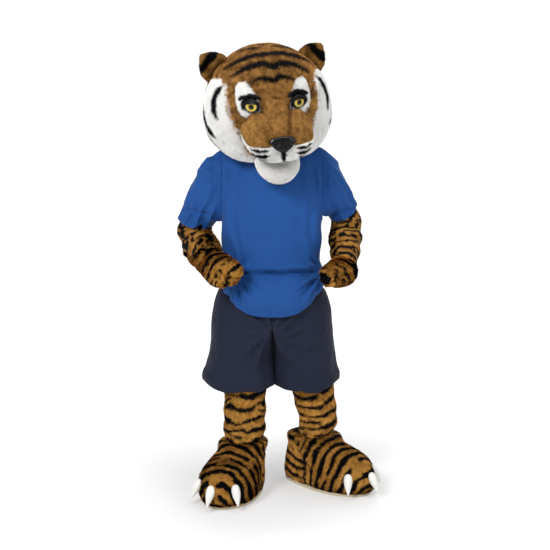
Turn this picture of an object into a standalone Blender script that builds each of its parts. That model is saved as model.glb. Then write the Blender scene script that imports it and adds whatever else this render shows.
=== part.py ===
"""Tiger costume as it is worn: furred head, suit, paws and clawed boots, with a T-shirt and shorts.

Metres, +Z up. The front faces -Y and +X is the viewer's right. Heights in the tables are measured from the
floor, and the whole costume hangs from an empty that puts the origin between the wearer's shoulders.
Every garment is a thin wall. It is laid out as one surface of rings and columns, then cut into the panels
that a maker sews together, with a narrow gap along each seam.
"""

import bpy
import numpy as np
from mathutils import Euler, Vector

# Driving sizes
SHOULDER_HEIGHT = 1.44
SEAM_GAP = 0.0004
SEAT_GAP = 0.00035
CUFF_EASE = 0.0015
LEG_GAP = 0.0008
SHIRT_WALL = 0.0022
SHORTS_WALL = 0.0022
BAND_WALL = 0.0034
SUIT_FUR_WALL = 0.010
LEG_FUR_WALL = 0.010
PAW_FUR_WALL = 0.009
HEAD_WALL = 0.018
SNOUT_WALL = 0.014
EAR_WALL = 0.018
BOOT_WALL = 0.014
NECK_WALL = 0.004
SOLE_THICKNESS = 0.012
SOLE_LIP = 0.004

# Half of the torso's columns: the front has this many strips, and so has the back
HALF_COLUMNS = 16
SHOULDER_COLUMNS = 4
YOKE_ROWS = 6
CROTCH_POINTS = 4
CROTCH_DROP = 0.032

COLOURS = {
    "orange_fur": (0.50, 0.24, 0.05, 0.95, 0.0),
    "brown_fur": (0.36, 0.19, 0.07, 0.95, 0.0),
    "white_fur": (0.84, 0.83, 0.80, 0.95, 0.0),
    "black_fur": (0.02, 0.02, 0.025, 0.9, 0.0),
    "blue_jersey": (0.03, 0.11, 0.40, 0.8, 0.0),
    "navy_twill": (0.03, 0.035, 0.075, 0.75, 0.0),
    "white_claw": (0.86, 0.86, 0.83, 0.4, 0.0),
    "pale_sole": (0.70, 0.60, 0.45, 0.7, 0.0),
    "black_vinyl": (0.01, 0.012, 0.018, 0.2, 0.0),
    "eye_resin": (0.55, 0.50, 0.22, 0.12, 0.0),
    "neck_cloth": (0.03, 0.03, 0.035, 0.9, 0.0),
}


def clear_scene():
    for obj in list(bpy.data.objects):
        bpy.data.objects.remove(obj)


def finish_of(name):
    """The Principled material of this name, made the first time that it is asked for."""
    found = bpy.data.materials.get(name)
    if found:
        return found
    red, green, blue, roughness, metallic = COLOURS[name]
    made = bpy.data.materials.new(name)
    made.use_nodes = True
    made.diffuse_color = (red, green, blue, 1.0)
    shader = made.node_tree.nodes["Principled BSDF"]
    shader.inputs["Base Color"].default_value = (red, green, blue, 1.0)
    shader.inputs["Roughness"].default_value = roughness
    shader.inputs["Metallic"].default_value = metallic
    return made


def empty(name, parent=None, location=(0, 0, 0), rotation=(0, 0, 0)):
    made = bpy.data.objects.new(name, None)
    made.location = location
    made.rotation_euler = rotation
    made.parent = parent
    bpy.context.scene.collection.objects.link(made)
    return made


def mesh_object(name, points, faces, finish, parent, guide=False):
    """An object from points and faces. A guide is left out of the costume."""
    mesh = bpy.data.meshes.new(name)
    mesh.from_pydata([tuple(p) for p in points], [], [tuple(f) for f in faces])
    mesh.validate()
    mesh.update()
    mesh.shade_smooth()
    mesh.materials.append(finish_of(finish))
    made = bpy.data.objects.new(name, mesh)
    made.parent = parent
    bpy.context.scene.collection.objects.link(made)
    if guide:
        made.hide_render = True
        made.display_type = "WIRE"
    return made


def boolean(obj, other, operation):
    step = obj.modifiers.new(operation.lower() + "_" + other.name, "BOOLEAN")
    step.operation = operation
    step.solver = "EXACT"
    step.object = other


class Cloth:
    """One surface of a garment, welded from grids of points, which sew() cuts into panels with a wall."""

    def __init__(self, wall):
        self.wall = wall
        self.outer = []
        self.inner = []
        self.found = {}
        self.faces = []
        self.panel_of = []
        self.aside = {}

    def vertex(self, point, inner=None):
        key = tuple(int(round(c * 1e6)) for c in point)
        if key not in self.found:
            self.found[key] = len(self.outer)
            self.outer.append(np.array(point, float))
            self.inner.append(None if inner is None else np.array(inner, float))
        return self.found[key]

    def face(self, corners, panel):
        """Adds a triangle, or a quad as two triangles across its shorter diagonal."""
        around = [c for i, c in enumerate(corners) if c != corners[i - 1]]
        if len(around) == 4:
            a, b, c, d = around
            first = np.linalg.norm(self.outer[a] - self.outer[c])
            second = np.linalg.norm(self.outer[b] - self.outer[d])
            halves = [[a, b, c], [a, c, d]] if first <= second else [[a, b, d], [b, c, d]]
        else:
            halves = [around]
        self.faces += halves
        self.panel_of += [panel] * len(halves)

    def grid(self, rows, panel, wrap=False, inner=None):
        """Faces between rows of points. panel is a name, or a function of row and column that gives one."""
        ids = [
            [self.vertex(p, inner[i][j] if inner else None) for j, p in enumerate(row)]
            for i, row in enumerate(rows)
        ]
        columns = len(ids[0])
        for i in range(len(ids) - 1):
            for j in range(columns if wrap else columns - 1):
                k = (j + 1) % columns
                name = panel(i, j) if callable(panel) else panel
                self.face([ids[i][j], ids[i][k], ids[i + 1][k], ids[i + 1][j]], name)
        return ids

    def cap(self, ring, tip, panel, tip_inner=None):
        """A fan of faces from a ring of vertex numbers to a tip."""
        top = self.vertex(tip, tip_inner)
        for j, a in enumerate(ring):
            self.face([a, ring[(j + 1) % len(ring)], top], panel)

    def normals(self):
        points = np.array(self.outer)
        total = np.zeros_like(points)
        for corners in self.faces:
            ring = points[corners]
            centre = ring.mean(axis=0)
            for i, a in enumerate(corners):
                b = corners[(i + 1) % len(corners)]
                area = np.cross(points[a] - centre, points[b] - centre)
                total[a] += area
                total[b] += area
        return total / np.linalg.norm(total, axis=1)[:, None]

    def panel(self, name):
        """Points and faces of one panel as a solid wall. Its seams are drawn back by half of SEAM_GAP."""
        outer = np.array(self.outer)
        normals = self.normals()
        inner = np.array(
            [outer[i] - normals[i] * self.wall if p is None else p for i, p in enumerate(self.inner)]
        )
        shared = {}
        for corners, owner in zip(self.faces, self.panel_of):
            for i, a in enumerate(corners):
                b = corners[(i + 1) % len(corners)]
                shared.setdefault(frozenset((a, b)), set()).add(owner)
        faces = [f for f, owner in zip(self.faces, self.panel_of) if owner == name]
        edges = {(a, f[(i + 1) % len(f)]): f for f in faces for i, a in enumerate(f)}
        rim = [(a, b) for (a, b) in edges if (b, a) not in edges]
        ways = {}
        for a, b in rim:
            if len(shared[frozenset((a, b))]) < 2:
                continue
            corners = outer[edges[a, b]]
            facing = np.cross(corners[1] - corners[0], corners[2] - corners[0])
            inward = np.cross(facing, outer[b] - outer[a])
            inward /= np.linalg.norm(inward)
            for v in (a, b):
                ways.setdefault(v, []).append(inward)
        used = sorted({v for f in faces for v in f})
        number = {v: i for i, v in enumerate(used)}
        outside, inside = outer[used].copy(), inner[used].copy()
        for v, inwards in ways.items():
            total = np.sum(inwards, axis=0)
            step = total * len(inwards) * (SEAM_GAP / 2) / max(total @ total, 1e-3)
            outside[number[v]] += step
            inside[number[v]] += step
        for v in used:
            outside[number[v]] += self.aside.get((name, v), 0.0)
            inside[number[v]] += self.aside.get((name, v), 0.0)
        count = len(used)
        solid = [[number[v] for v in f] for f in faces]
        solid += [[number[v] + count for v in reversed(f)] for f in faces]
        for a, b in rim:
            m, n = number[a], number[b]
            if a < b:
                solid += [[n, m, n + count], [m, m + count, n + count]]
            else:
                solid += [[n, m, m + count], [n, m + count, n + count]]
        return [*outside, *inside], solid

    def sew(self, finish, parent, names):
        """One object for each of the panels named."""
        for name in names:
            points, faces = self.panel(name)
            mesh_object(name, points, faces, finish, parent)


def power(value, exponent):
    return np.sign(value) * np.abs(value) ** exponent


def smooth(value, low, high):
    t = np.clip((value - low) / (high - low), 0.0, 1.0)
    return t * t * (3 - 2 * t)


def lerp(a, b, t):
    return np.array(a, float) * (1 - t) + np.array(b, float) * t


def body_lean(point):
    """The wearer's right shoulder, at -X, stands a little lower than the left one."""
    x, y, z = point
    return np.array([x, y, z + 0.012 * x * smooth(z, 1.0, 1.4)])


def body_ring(half_width, front, back, front_z, side_z, back_z, squareness):
    """Points round the torso: the front from -X to +X, then the back from +X to -X."""
    points = []
    for k in range(2 * HALF_COLUMNS):
        turn = np.pi * (k / HALF_COLUMNS) - np.pi / 2
        across, along = np.sin(turn), np.cos(turn)
        x = half_width * power(across, 2 / squareness)
        depth = front if along >= 0 else back
        middle_z = front_z if along >= 0 else back_z
        y = -depth * power(along, 2 / squareness)
        z = side_z + (middle_z - side_z) * abs(along) ** 1.5
        points.append(body_lean((x, y, z)))
    return points


def front_of(ring):
    return ring[: HALF_COLUMNS + 1]


def back_of(ring):
    """The back half of a ring, from -X to +X like the front."""
    return [ring[0], *ring[: HALF_COLUMNS - 1 : -1]]


def shoulder_line(cut, side):
    """The top edge of a front (side -1) or a back (side 1): shoulder seam, neckline, shoulder seam."""
    line = []
    neck_x, neck_z = cut["neck_half_width"], cut["neck_z"]
    point_x, point_z = cut["shoulder_x"], cut["shoulder_z"]
    neck_depth = cut["neck_front"] if side < 0 else cut["neck_back"]
    neck_drop = cut["neck_front_drop"] if side < 0 else cut["neck_back_drop"]
    for k in range(HALF_COLUMNS + 1):
        left = min(k, HALF_COLUMNS - k)
        sign = -1 if k < HALF_COLUMNS / 2 else 1
        if left <= SHOULDER_COLUMNS:
            t = left / SHOULDER_COLUMNS
            x, z = sign * (point_x + (neck_x - point_x) * t), point_z + (neck_z - point_z) * t
            line.append(body_lean((x, cut["ridge_y"], z)))
            continue
        turn = np.pi * (k - SHOULDER_COLUMNS) / (HALF_COLUMNS - 2 * SHOULDER_COLUMNS) - np.pi / 2
        x = neck_x * np.sin(turn)
        y = cut["ridge_y"] + side * neck_depth * np.cos(turn)
        line.append(body_lean((x, y, neck_z - neck_drop * np.cos(turn))))
    return line


def yoke(lower, upper, side, cut):
    """Rows from the armpit's level to the shoulder line. Each column is one Bezier curve."""
    rows = []
    for i in range(YOKE_ROWS + 1):
        t = i / YOKE_ROWS
        row = []
        for k in range(HALF_COLUMNS + 1):
            reach = abs(k - HALF_COLUMNS / 2) / (HALF_COLUMNS / 2)
            edge = smooth(reach, 0.72, 1.0)
            start, end = np.array(lower[k]), np.array(upper[k])
            rise = end[2] - start[2]
            up = lerp((0, 0, 0.5 * rise), (0, side * cut["armhole_depth"], 0.03), edge)
            over = lerp(
                (0, side * cut["yoke_reach"], -0.25 * cut["yoke_reach"]),
                (0, side * cut["armhole_depth"], -0.25 * rise),
                edge,
            )
            a, b = start + up, end + over
            s = 1 - t
            row.append(s**3 * start + 3 * s * s * t * a + 3 * s * t * t * b + t**3 * end)
        rows.append(row)
    return rows


def armhole(front_rows, back_rows, right):
    """The loop of an armhole, from the armpit up the front, over the shoulder and down the back."""
    k = 0 if right else HALF_COLUMNS
    up = [row[k] for row in front_rows]
    down = [row[k] for row in back_rows][::-1][1:-1]
    return up + down


def neckline(front, back):
    """The loop of a neck opening, from the yokes' top rows."""
    low, high = SHOULDER_COLUMNS, HALF_COLUMNS - SHOULDER_COLUMNS
    return [*front[-1][low : high + 1], *back[-1][high - 1 : low : -1]]


def limb_ring(inner, outer, half_depth, tangent, count, share=1.0):
    """An ellipse of count points. Point 0 is at inner, and the loop turns by way of the front.
    share is how far the ellipse turns from facing straight sideways to facing along the tangent."""
    inner, outer = np.array(inner, float), np.array(outer, float)
    centre, reach = (inner + outer) / 2, (outer - inner) / 2
    side = np.cross(tangent, reach)
    side /= np.linalg.norm(side)
    if side[1] > 0:
        side = -side
    side = lerp((0, -1, 0), side, share)
    side /= np.linalg.norm(side)
    points = []
    for j in range(count):
        turn = 2 * np.pi * j / count
        points.append(centre - reach * np.cos(turn) + side * half_depth * np.sin(turn))
    return points


def sleeve_rings(loop, table, blend_rows):
    """Rings from an armhole along a table of (inner x, inner z, outer x, outer z, y, half depth)."""
    count = len(loop)
    centres = [np.mean(loop, axis=0)]
    centres += [np.array([(r[0] + r[2]) / 2, r[4], (r[1] + r[3]) / 2]) for r in table]
    rings = [loop]
    for i, (in_x, in_z, out_x, out_z, y, half_depth) in enumerate(table):
        behind = centres[i]
        ahead = centres[min(i + 2, len(table))]
        share = min(1.0, i / 4)
        ring = limb_ring((in_x, y, in_z), (out_x, y, out_z), half_depth, ahead - behind, count, share)
        keep = max(0.0, 1 - (i + 1) / (blend_rows + 1))
        moved = [p + centres[i + 1] - centres[0] for p in loop]
        rings.append([lerp(p, q, keep * keep) for p, q in zip(ring, moved)])
    return rings


def turned(rings, right):
    """Rings of a right limb as they are, or those of a left limb turned so that faces look outwards."""
    return rings if right else [[ring[0], *ring[:0:-1]] for ring in rings]


SUIT_SQUARENESS = 2.3
# The suit's torso, hidden by the shirt and the shorts: height, half width, front, back
SUIT_TORSO = (
    (0.770, 0.185, 0.120, 0.135),
    (0.860, 0.190, 0.122, 0.138),
    (0.975, 0.184, 0.118, 0.126),
    (1.015, 0.180, 0.116, 0.122),
    (1.110, 0.180, 0.118, 0.118),
    (1.200, 0.192, 0.116, 0.116),
)
WAIST_ROWS = (2, 3)
SUIT_CUT = {
    "shoulder_x": 0.196,
    "shoulder_z": 1.470,
    "neck_half_width": 0.088,
    "neck_z": 1.493,
    "neck_front": 0.078,
    "neck_back": 0.062,
    "neck_front_drop": 0.030,
    "neck_back_drop": -0.004,
    "ridge_y": 0.012,
    "armhole_depth": 0.060,
    "yoke_reach": 0.070,
}
# Arms: inner edge x and z, outer edge x and z, depth y and half depth. The first rows lie in the shirt's
# sleeves.
RIGHT_ARM = (
    (-0.232, 1.210, -0.266, 1.390, 0.016, 0.072),
    (-0.256, 1.190, -0.318, 1.314, 0.040, 0.062),
    (-0.270, 1.170, -0.374, 1.216, 0.072, 0.058),
    (-0.268, 1.138, -0.420, 1.150, 0.086, 0.067),
    (-0.266, 1.118, -0.424, 1.104, 0.078, 0.079),
    (-0.256, 1.104, -0.398, 1.064, 0.058, 0.071),
    (-0.246, 1.096, -0.396, 1.040, 0.034, 0.080),
    (-0.232, 1.084, -0.366, 1.020, 0.004, 0.069),
    (-0.226, 1.074, -0.358, 1.002, -0.028, 0.074),
    (-0.220, 1.060, -0.326, 0.990, -0.068, 0.063),
    (-0.210, 1.050, -0.318, 0.976, -0.102, 0.066),
    (-0.201, 1.038, -0.300, 0.970, -0.128, 0.059),
)
LEFT_ARM = (
    (0.228, 1.238, 0.254, 1.402, 0.016, 0.072),
    (0.246, 1.218, 0.296, 1.350, 0.038, 0.068),
    (0.261, 1.196, 0.348, 1.258, 0.072, 0.063),
    (0.264, 1.172, 0.387, 1.206, 0.086, 0.072),
    (0.262, 1.140, 0.402, 1.160, 0.088, 0.080),
    (0.256, 1.114, 0.396, 1.122, 0.072, 0.071),
    (0.250, 1.090, 0.403, 1.092, 0.048, 0.081),
    (0.256, 1.066, 0.388, 1.062, 0.020, 0.068),
    (0.254, 1.044, 0.390, 1.034, -0.010, 0.073),
    (0.258, 1.022, 0.374, 1.010, -0.044, 0.062),
    (0.250, 1.002, 0.368, 0.988, -0.076, 0.066),
    (0.250, 0.986, 0.352, 0.970, -0.102, 0.058),
)
# The seam across the elbow, counted in rows down from the armhole
ELBOW_ROW = 5
# Legs below the crotch: height, centre x and y, half width and half depth
RIGHT_LEG = (
    (0.640, -0.108, -0.030, 0.092, 0.100),
    (0.520, -0.114, -0.042, 0.088, 0.092),
    (0.450, -0.117, -0.050, 0.091, 0.092),
    (0.405, -0.118, -0.053, 0.085, 0.086),
    (0.365, -0.118, -0.056, 0.092, 0.093),
    (0.322, -0.120, -0.058, 0.084, 0.086),
    (0.282, -0.119, -0.060, 0.092, 0.093),
    (0.245, -0.123, -0.066, 0.0795, 0.0795),
    (0.200, -0.123, -0.066, 0.0785, 0.0785),
    (0.130, -0.123, -0.066, 0.066, 0.066),
)
LEFT_LEG = (
    (0.640, 0.120, -0.005, 0.094, 0.100),
    (0.520, 0.160, 0.002, 0.090, 0.094),
    (0.450, 0.176, 0.008, 0.094, 0.096),
    (0.405, 0.184, 0.012, 0.087, 0.090),
    (0.365, 0.192, 0.018, 0.091, 0.093),
    (0.322, 0.200, 0.022, 0.081, 0.084),
    (0.282, 0.206, 0.026, 0.084, 0.085),
    (0.245, 0.196, 0.026, 0.073, 0.073),
    (0.200, 0.196, 0.026, 0.072, 0.072),
    (0.130, 0.196, 0.026, 0.064, 0.064),
)

# The shirt below the armpits: front, side and back heights, half width, front, back, squareness
SHIRT_BODY = (
    (0.776, 0.905, 0.800, 0.218, 0.178, 0.180, 2.6),
    (0.815, 0.918, 0.835, 0.223, 0.194, 0.183, 2.6),
    (0.870, 0.935, 0.880, 0.223, 0.196, 0.178, 2.5),
    (0.930, 0.958, 0.935, 0.221, 0.178, 0.167, 2.4),
    (0.972, 0.982, 0.985, 0.214, 0.150, 0.157, 2.3),
    (1.010, 1.016, 1.040, 0.213, 0.154, 0.151, 2.3),
    (1.090, 1.090, 1.100, 0.217, 0.152, 0.146, 2.3),
    (1.165, 1.168, 1.170, 0.2145, 0.148, 0.142, 2.3),
)
SHIRT_CUT = {
    "shoulder_x": 0.212,
    "shoulder_z": 1.483,
    "neck_half_width": 0.0885,
    "neck_z": 1.500,
    "neck_front": 0.0795,
    "neck_back": 0.0635,
    "neck_front_drop": 0.030,
    "neck_back_drop": -0.004,
    "ridge_y": 0.012,
    "armhole_depth": 0.088,
    "yoke_reach": 0.086,
}
NECKBAND_HEIGHT = 0.012
RIGHT_SLEEVE = (
    (-0.232, 1.170, -0.286, 1.428, 0.016, 0.098),
    (-0.242, 1.165, -0.334, 1.360, 0.032, 0.092),
    (-0.248, 1.160, -0.368, 1.296, 0.052, 0.089),
    (-0.252, 1.157, -0.393, 1.238, 0.070, 0.087),
    (-0.255, 1.155, -0.413, 1.186, 0.082, 0.088),
)
LEFT_SLEEVE = (
    (0.226, 1.200, 0.260, 1.440, 0.016, 0.098),
    (0.234, 1.196, 0.294, 1.394, 0.032, 0.092),
    (0.241, 1.190, 0.323, 1.344, 0.050, 0.088),
    (0.247, 1.183, 0.348, 1.299, 0.066, 0.085),
    (0.252, 1.176, 0.367, 1.258, 0.080, 0.085),
)

# The shorts below the waistband: front, side and back heights, half width, front, back, squareness
SHORTS_BODY = (
    (0.735, 0.745, 0.735, 0.262, 0.160, 0.166, 2.2),
    (0.810, 0.815, 0.820, 0.253, 0.158, 0.163, 2.0),
    (0.870, 0.868, 0.880, 0.236, 0.150, 0.154, 2.0),
    (0.915, 0.912, 0.925, 0.204, 0.136, 0.144, 2.1),
)
SHORTS_GATHERS = 7
SHORTS_GATHER_HEIGHT = 0.0035
# Each leg of the shorts: height, centre x and y, half width, half depth, drop of the hem at the front
RIGHT_SHORTS_LEG = (
    (0.660, -0.135, -0.012, 0.135, 0.146, 0.004),
    (0.585, -0.140, -0.020, 0.140, 0.142, 0.008),
    (0.515, -0.1445, -0.026, 0.1505, 0.140, 0.012),
    (0.463, -0.148, -0.030, 0.157, 0.138, 0.016),
)
LEFT_SHORTS_LEG = (
    (0.660, 0.139, 0.000, 0.134, 0.144, 0.004),
    (0.585, 0.1435, 0.000, 0.1355, 0.140, 0.008),
    (0.515, 0.149, 0.000, 0.137, 0.138, 0.012),
    (0.463, 0.1545, 0.000, 0.1405, 0.136, 0.016),
)


def torso(cloth, rings, cut, panels):
    """The front and back of a torso from its rings up to the shoulders. Returns both yokes' rows."""
    front, back = panels
    cloth.grid([front_of(r) for r in rings], front)
    cloth.grid([back_of(r)[::-1] for r in rings], back)
    yokes = []
    for side, half in ((-1, front_of), (1, back_of)):
        yokes.append(yoke(half(rings[-1]), shoulder_line(cut, side), side, cut))
    cloth.grid(yokes[0], front)
    cloth.grid([row[::-1] for row in yokes[1]], back)
    return yokes


def crotch_curve(ring, drop, right):
    """One leg's points between the front and back middles of a torso's lowest ring, under the body."""
    aside = np.array([-LEG_GAP if right else LEG_GAP, 0.0, 0.0])
    front, back = np.array(ring[HALF_COLUMNS // 2]), np.array(ring[3 * HALF_COLUMNS // 2])
    curve = []
    for i in range(1, CROTCH_POINTS):
        t = i / CROTCH_POINTS
        curve.append(lerp(front, back, t) + aside - np.array([0, 0, drop * np.sin(np.pi * t)]))
    return curve


def leg_loop(ring, curve, right):
    """The loop that a trouser leg starts from: half of the lowest ring and the curve under the crotch."""
    quarter = HALF_COLUMNS // 2
    if right:
        outside = [*ring[3 * quarter :], *ring[: quarter + 1]]
        return outside + curve
    outside = ring[quarter : 3 * quarter + 1]
    return outside + curve[::-1]


def leg_rings(loop, table, blend_rows):
    """Rings below a leg's loop. Each ring's points keep the direction that they have round the loop."""
    loop = [np.array(p) for p in loop]
    middle = np.mean(loop, axis=0)
    reach_x = max(abs(p[0] - middle[0]) for p in loop)
    reach_y = max(abs(p[1] - middle[1]) for p in loop)
    turns = [np.arctan2((p[1] - middle[1]) / reach_y, (p[0] - middle[0]) / reach_x) for p in loop]
    rings = [loop]
    for i, row in enumerate(table):
        height, x, y, half_width, half_depth = row[:5]
        front_drop = row[5] if len(row) > 5 else 0.0
        ring = []
        for p, turn in zip(loop, turns):
            spot = np.array([x + half_width * np.cos(turn), y + half_depth * np.sin(turn), height])
            spot[2] += front_drop * np.sin(turn)
            moved = p + np.array([x, y, height]) - middle
            keep = max(0.0, 1 - (i + 1) / (blend_rows + 1))
            ring.append(lerp(spot, moved, keep * keep))
        rings.append(ring)
    return rings


def suit_rings():
    return [body_ring(w, f, b, z, z, z, SUIT_SQUARENESS) for z, w, f, b in SUIT_TORSO]


def make_suit(costume):
    """The furred suit. Its torso is plain, because the shirt and the shorts cover it."""
    cloth = Cloth(SUIT_FUR_WALL)
    rings = suit_rings()
    yokes = torso(cloth, rings, SUIT_CUT, ("suit_front", "suit_back"))
    wrists = []
    for right, table, name in ((True, RIGHT_ARM, "suit_arm_right"), (False, LEFT_ARM, "suit_arm_left")):
        rings_out = turned(sleeve_rings(armhole(*yokes, right), table, 1), right)
        cloth.grid(rings_out[: ELBOW_ROW + 1], name, wrap=True)
        cloth.grid(rings_out[ELBOW_ROW:], name.replace("arm", "forearm"), wrap=True)
        wrists.append(rings_out[-2:])
    for p in neckline(*yokes):
        cloth.inner[cloth.vertex(p)] = p - np.array([0, 0, SUIT_FUR_WALL])
    for right, table, name in ((True, RIGHT_LEG, "suit_leg_right"), (False, LEFT_LEG, "suit_leg_left")):
        loop = leg_loop(rings[0], crotch_curve(rings[0], CROTCH_DROP, right), right)
        cloth.grid(leg_rings(loop, table, 1)[::-1], name, wrap=True)
        for middle in (HALF_COLUMNS // 2, 3 * HALF_COLUMNS // 2):
            step = -LEG_GAP if right else LEG_GAP
            cloth.aside[name, cloth.vertex(rings[0][middle])] = np.array([step, 0.0, 0.0])
    names = ["suit_front", "suit_back"]
    for side in ("right", "left"):
        names += [f"suit_arm_{side}", f"suit_forearm_{side}", f"suit_leg_{side}"]
    cloth.sew("orange_fur", costume, names)
    return yokes, wrists


def shirt_folds(point, k, height):
    """Moves a point of the shirt's body out or in for its broad folds."""
    across = np.sin(np.pi * k / HALF_COLUMNS - np.pi / 2)
    if k <= HALF_COLUMNS:
        depth = 0.008 * np.cos(2.5 * np.pi * across) * smooth(abs(across), 0.35, 0.8)
        depth *= smooth(height, 0.98, 1.12)
    else:
        depth = 0.006 * np.cos(4 * np.pi * across) * smooth(1.15 - height, 0.0, 0.3)
    way = np.array([point[0], point[1], 0.0])
    return point + way / np.linalg.norm(way) * depth


def outwards(ring, distance):
    """A ring round the body moved out level from its own middle."""
    middle = np.mean(ring, axis=0)
    moved = []
    for p in ring:
        way = np.array([p[0] - middle[0], p[1] - middle[1], 0.0])
        moved.append(np.array(p) + way / np.linalg.norm(way) * distance)
    return moved


def make_shirt(costume):
    """The T-shirt: front, back, two sleeves and a neckband."""
    cloth = Cloth(SHIRT_WALL)
    rings = []
    for front_z, side_z, back_z, width, front, back, squareness in SHIRT_BODY:
        ring = body_ring(width, front, back, front_z, side_z, back_z, squareness)
        rings.append([shirt_folds(p, k, p[2]) for k, p in enumerate(ring)])
    front, back = torso(cloth, rings, SHIRT_CUT, ("shirt_front", "shirt_back"))
    sides = ((True, RIGHT_SLEEVE, "shirt_sleeve_right"), (False, LEFT_SLEEVE, "shirt_sleeve_left"))
    for right, table, name in sides:
        loop = armhole(front, back, right)
        cloth.grid(turned(sleeve_rings(loop, table, 2), right), name, wrap=True)
    names = ("shirt_front", "shirt_back", "shirt_sleeve_right", "shirt_sleeve_left")
    cloth.sew("blue_jersey", costume, names)
    band = Cloth(SHIRT_WALL)
    loop = [p + np.array([0, 0, SEAM_GAP]) for p in neckline(front, back)]
    raised = [p + np.array([0, 0, NECKBAND_HEIGHT]) for p in loop]
    lining = [outwards(r, -SHIRT_WALL) for r in (loop, raised)]
    band.grid([loop, raised], "shirt_neckband", wrap=True, inner=lining)
    band.sew("blue_jersey", costume, ["shirt_neckband"])


def make_shorts(costume):
    """The shorts: two fronts, two backs and a waistband that grips the suit's waist."""
    suit = suit_rings()
    waist = [outwards(suit[i], SEAT_GAP + BAND_WALL) for i in WAIST_ROWS]
    waist_inner = [outwards(suit[i], SEAT_GAP) for i in WAIST_ROWS]
    band = Cloth(BAND_WALL)
    band.grid(waist, "shorts_waistband", wrap=True, inner=waist_inner)
    band.sew("navy_twill", costume, ["shorts_waistband"])

    cloth = Cloth(SHORTS_WALL)
    rings = [body_ring(w, f, b, fz, sz, bz, n) for fz, sz, bz, w, f, b, n in SHORTS_BODY]
    top = outwards(suit[WAIST_ROWS[0]], SEAT_GAP + SHORTS_WALL + 0.001)
    top = [p - np.array([0, 0, SEAM_GAP]) for p in top]
    waves = [np.cos(np.pi * k * SHORTS_GATHERS / HALF_COLUMNS) for k in range(2 * HALF_COLUMNS)]
    pushed = outwards(rings[-1], SHORTS_GATHER_HEIGHT)
    gathered = [lerp(p, q, wave) for p, q, wave in zip(rings[-1], pushed, waves)]
    rings = [*rings[:-1], gathered, top]

    def panel(i, k):
        quarter = HALF_COLUMNS // 2
        part = ("front_right", "front_left", "back_left", "back_right")[k // quarter]
        return "shorts_" + part

    cloth.grid(rings, panel, wrap=True)
    for right, table, side in ((True, RIGHT_SHORTS_LEG, "right"), (False, LEFT_SHORTS_LEG, "left")):
        loop = leg_loop(rings[0], crotch_curve(rings[0], CROTCH_DROP, right), right)
        half = HALF_COLUMNS // 2

        def leg_panel(i, j, side=side, right=right):
            if j < half:
                part = "back" if right else "front"
            elif j < 2 * half:
                part = "front" if right else "back"
            else:
                nearer = j - 2 * half < CROTCH_POINTS / 2
                part = "front" if nearer == right else "back"
            return f"shorts_{part}_{side}"

        cloth.grid(leg_rings(loop, table, 2)[::-1], leg_panel, wrap=True)
    names = ("front_right", "front_left", "back_right", "back_left")
    cloth.sew("navy_twill", costume, ["shorts_" + name for name in names])


# Paws beyond the suit's sleeve: inner edge x and z, outer edge x and z, depth y and half depth, then the tip
RIGHT_PAW = (
    (-0.190, 1.034, -0.292, 0.962, -0.146, 0.057),
    (-0.170, 1.028, -0.278, 0.944, -0.170, 0.060),
    (-0.148, 1.014, -0.256, 0.926, -0.196, 0.058),
    (-0.132, 0.996, -0.226, 0.918, -0.216, 0.050),
    (-0.128, 0.974, -0.196, 0.922, -0.232, 0.037),
)
RIGHT_PAW_TIP = (-0.146, -0.242, 0.939)
LEFT_PAW = (
    (0.240, 0.990, 0.354, 0.958, -0.128, 0.056),
    (0.226, 0.988, 0.350, 0.944, -0.152, 0.060),
    (0.214, 0.982, 0.332, 0.934, -0.178, 0.058),
    (0.206, 0.970, 0.304, 0.930, -0.200, 0.050),
    (0.206, 0.956, 0.272, 0.932, -0.218, 0.037),
)
LEFT_PAW_TIP = (0.224, -0.228, 0.942)
FINGER_ROWS = 3
FINGER_DEPTH = 0.14


def drawn_into(ring, distance):
    """A ring drawn in to its own middle by a distance."""
    middle = np.mean(ring, axis=0)
    return [p - (p - middle) / np.linalg.norm(p - middle) * distance for p in ring]


def make_paw(costume, name, arm, table, tip, right):
    """A mitten of fur: a cuff inside the suit's sleeve, a broad back and three finger lobes."""
    cloth = Cloth(PAW_FUR_WALL)
    cuff = [drawn_into(ring, SUIT_FUR_WALL + CUFF_EASE) for ring in arm]
    centres = [np.mean(cuff[-1], axis=0)]
    centres += [np.array([(r[0] + r[2]) / 2, r[4], (r[1] + r[3]) / 2]) for r in table]
    centres.append(np.array(tip))
    count = len(arm[0])
    rings = []
    for i, (in_x, in_z, out_x, out_z, y, half_depth) in enumerate(table):
        tangent = centres[i + 2] - centres[i]
        ring = limb_ring((in_x, y, in_z), (out_x, y, out_z), half_depth, tangent, count)
        share = max(0.0, (i - (len(table) - FINGER_ROWS) + 1) / FINGER_ROWS)
        lobes = []
        for j, p in enumerate(ring):
            turn = 2 * np.pi * j / count
            pinch = 1 - FINGER_DEPTH * share * (0.5 - 0.5 * np.cos(4 * turn))
            lobes.append(lerp(centres[i + 1], p, pinch))
        rings.append(lobes)
    ids = cloth.grid([*cuff, *turned(rings, right)], name, wrap=True)
    cloth.cap(ids[-1], tip, name)
    cloth.sew("orange_fur", costume, [name])


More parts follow.
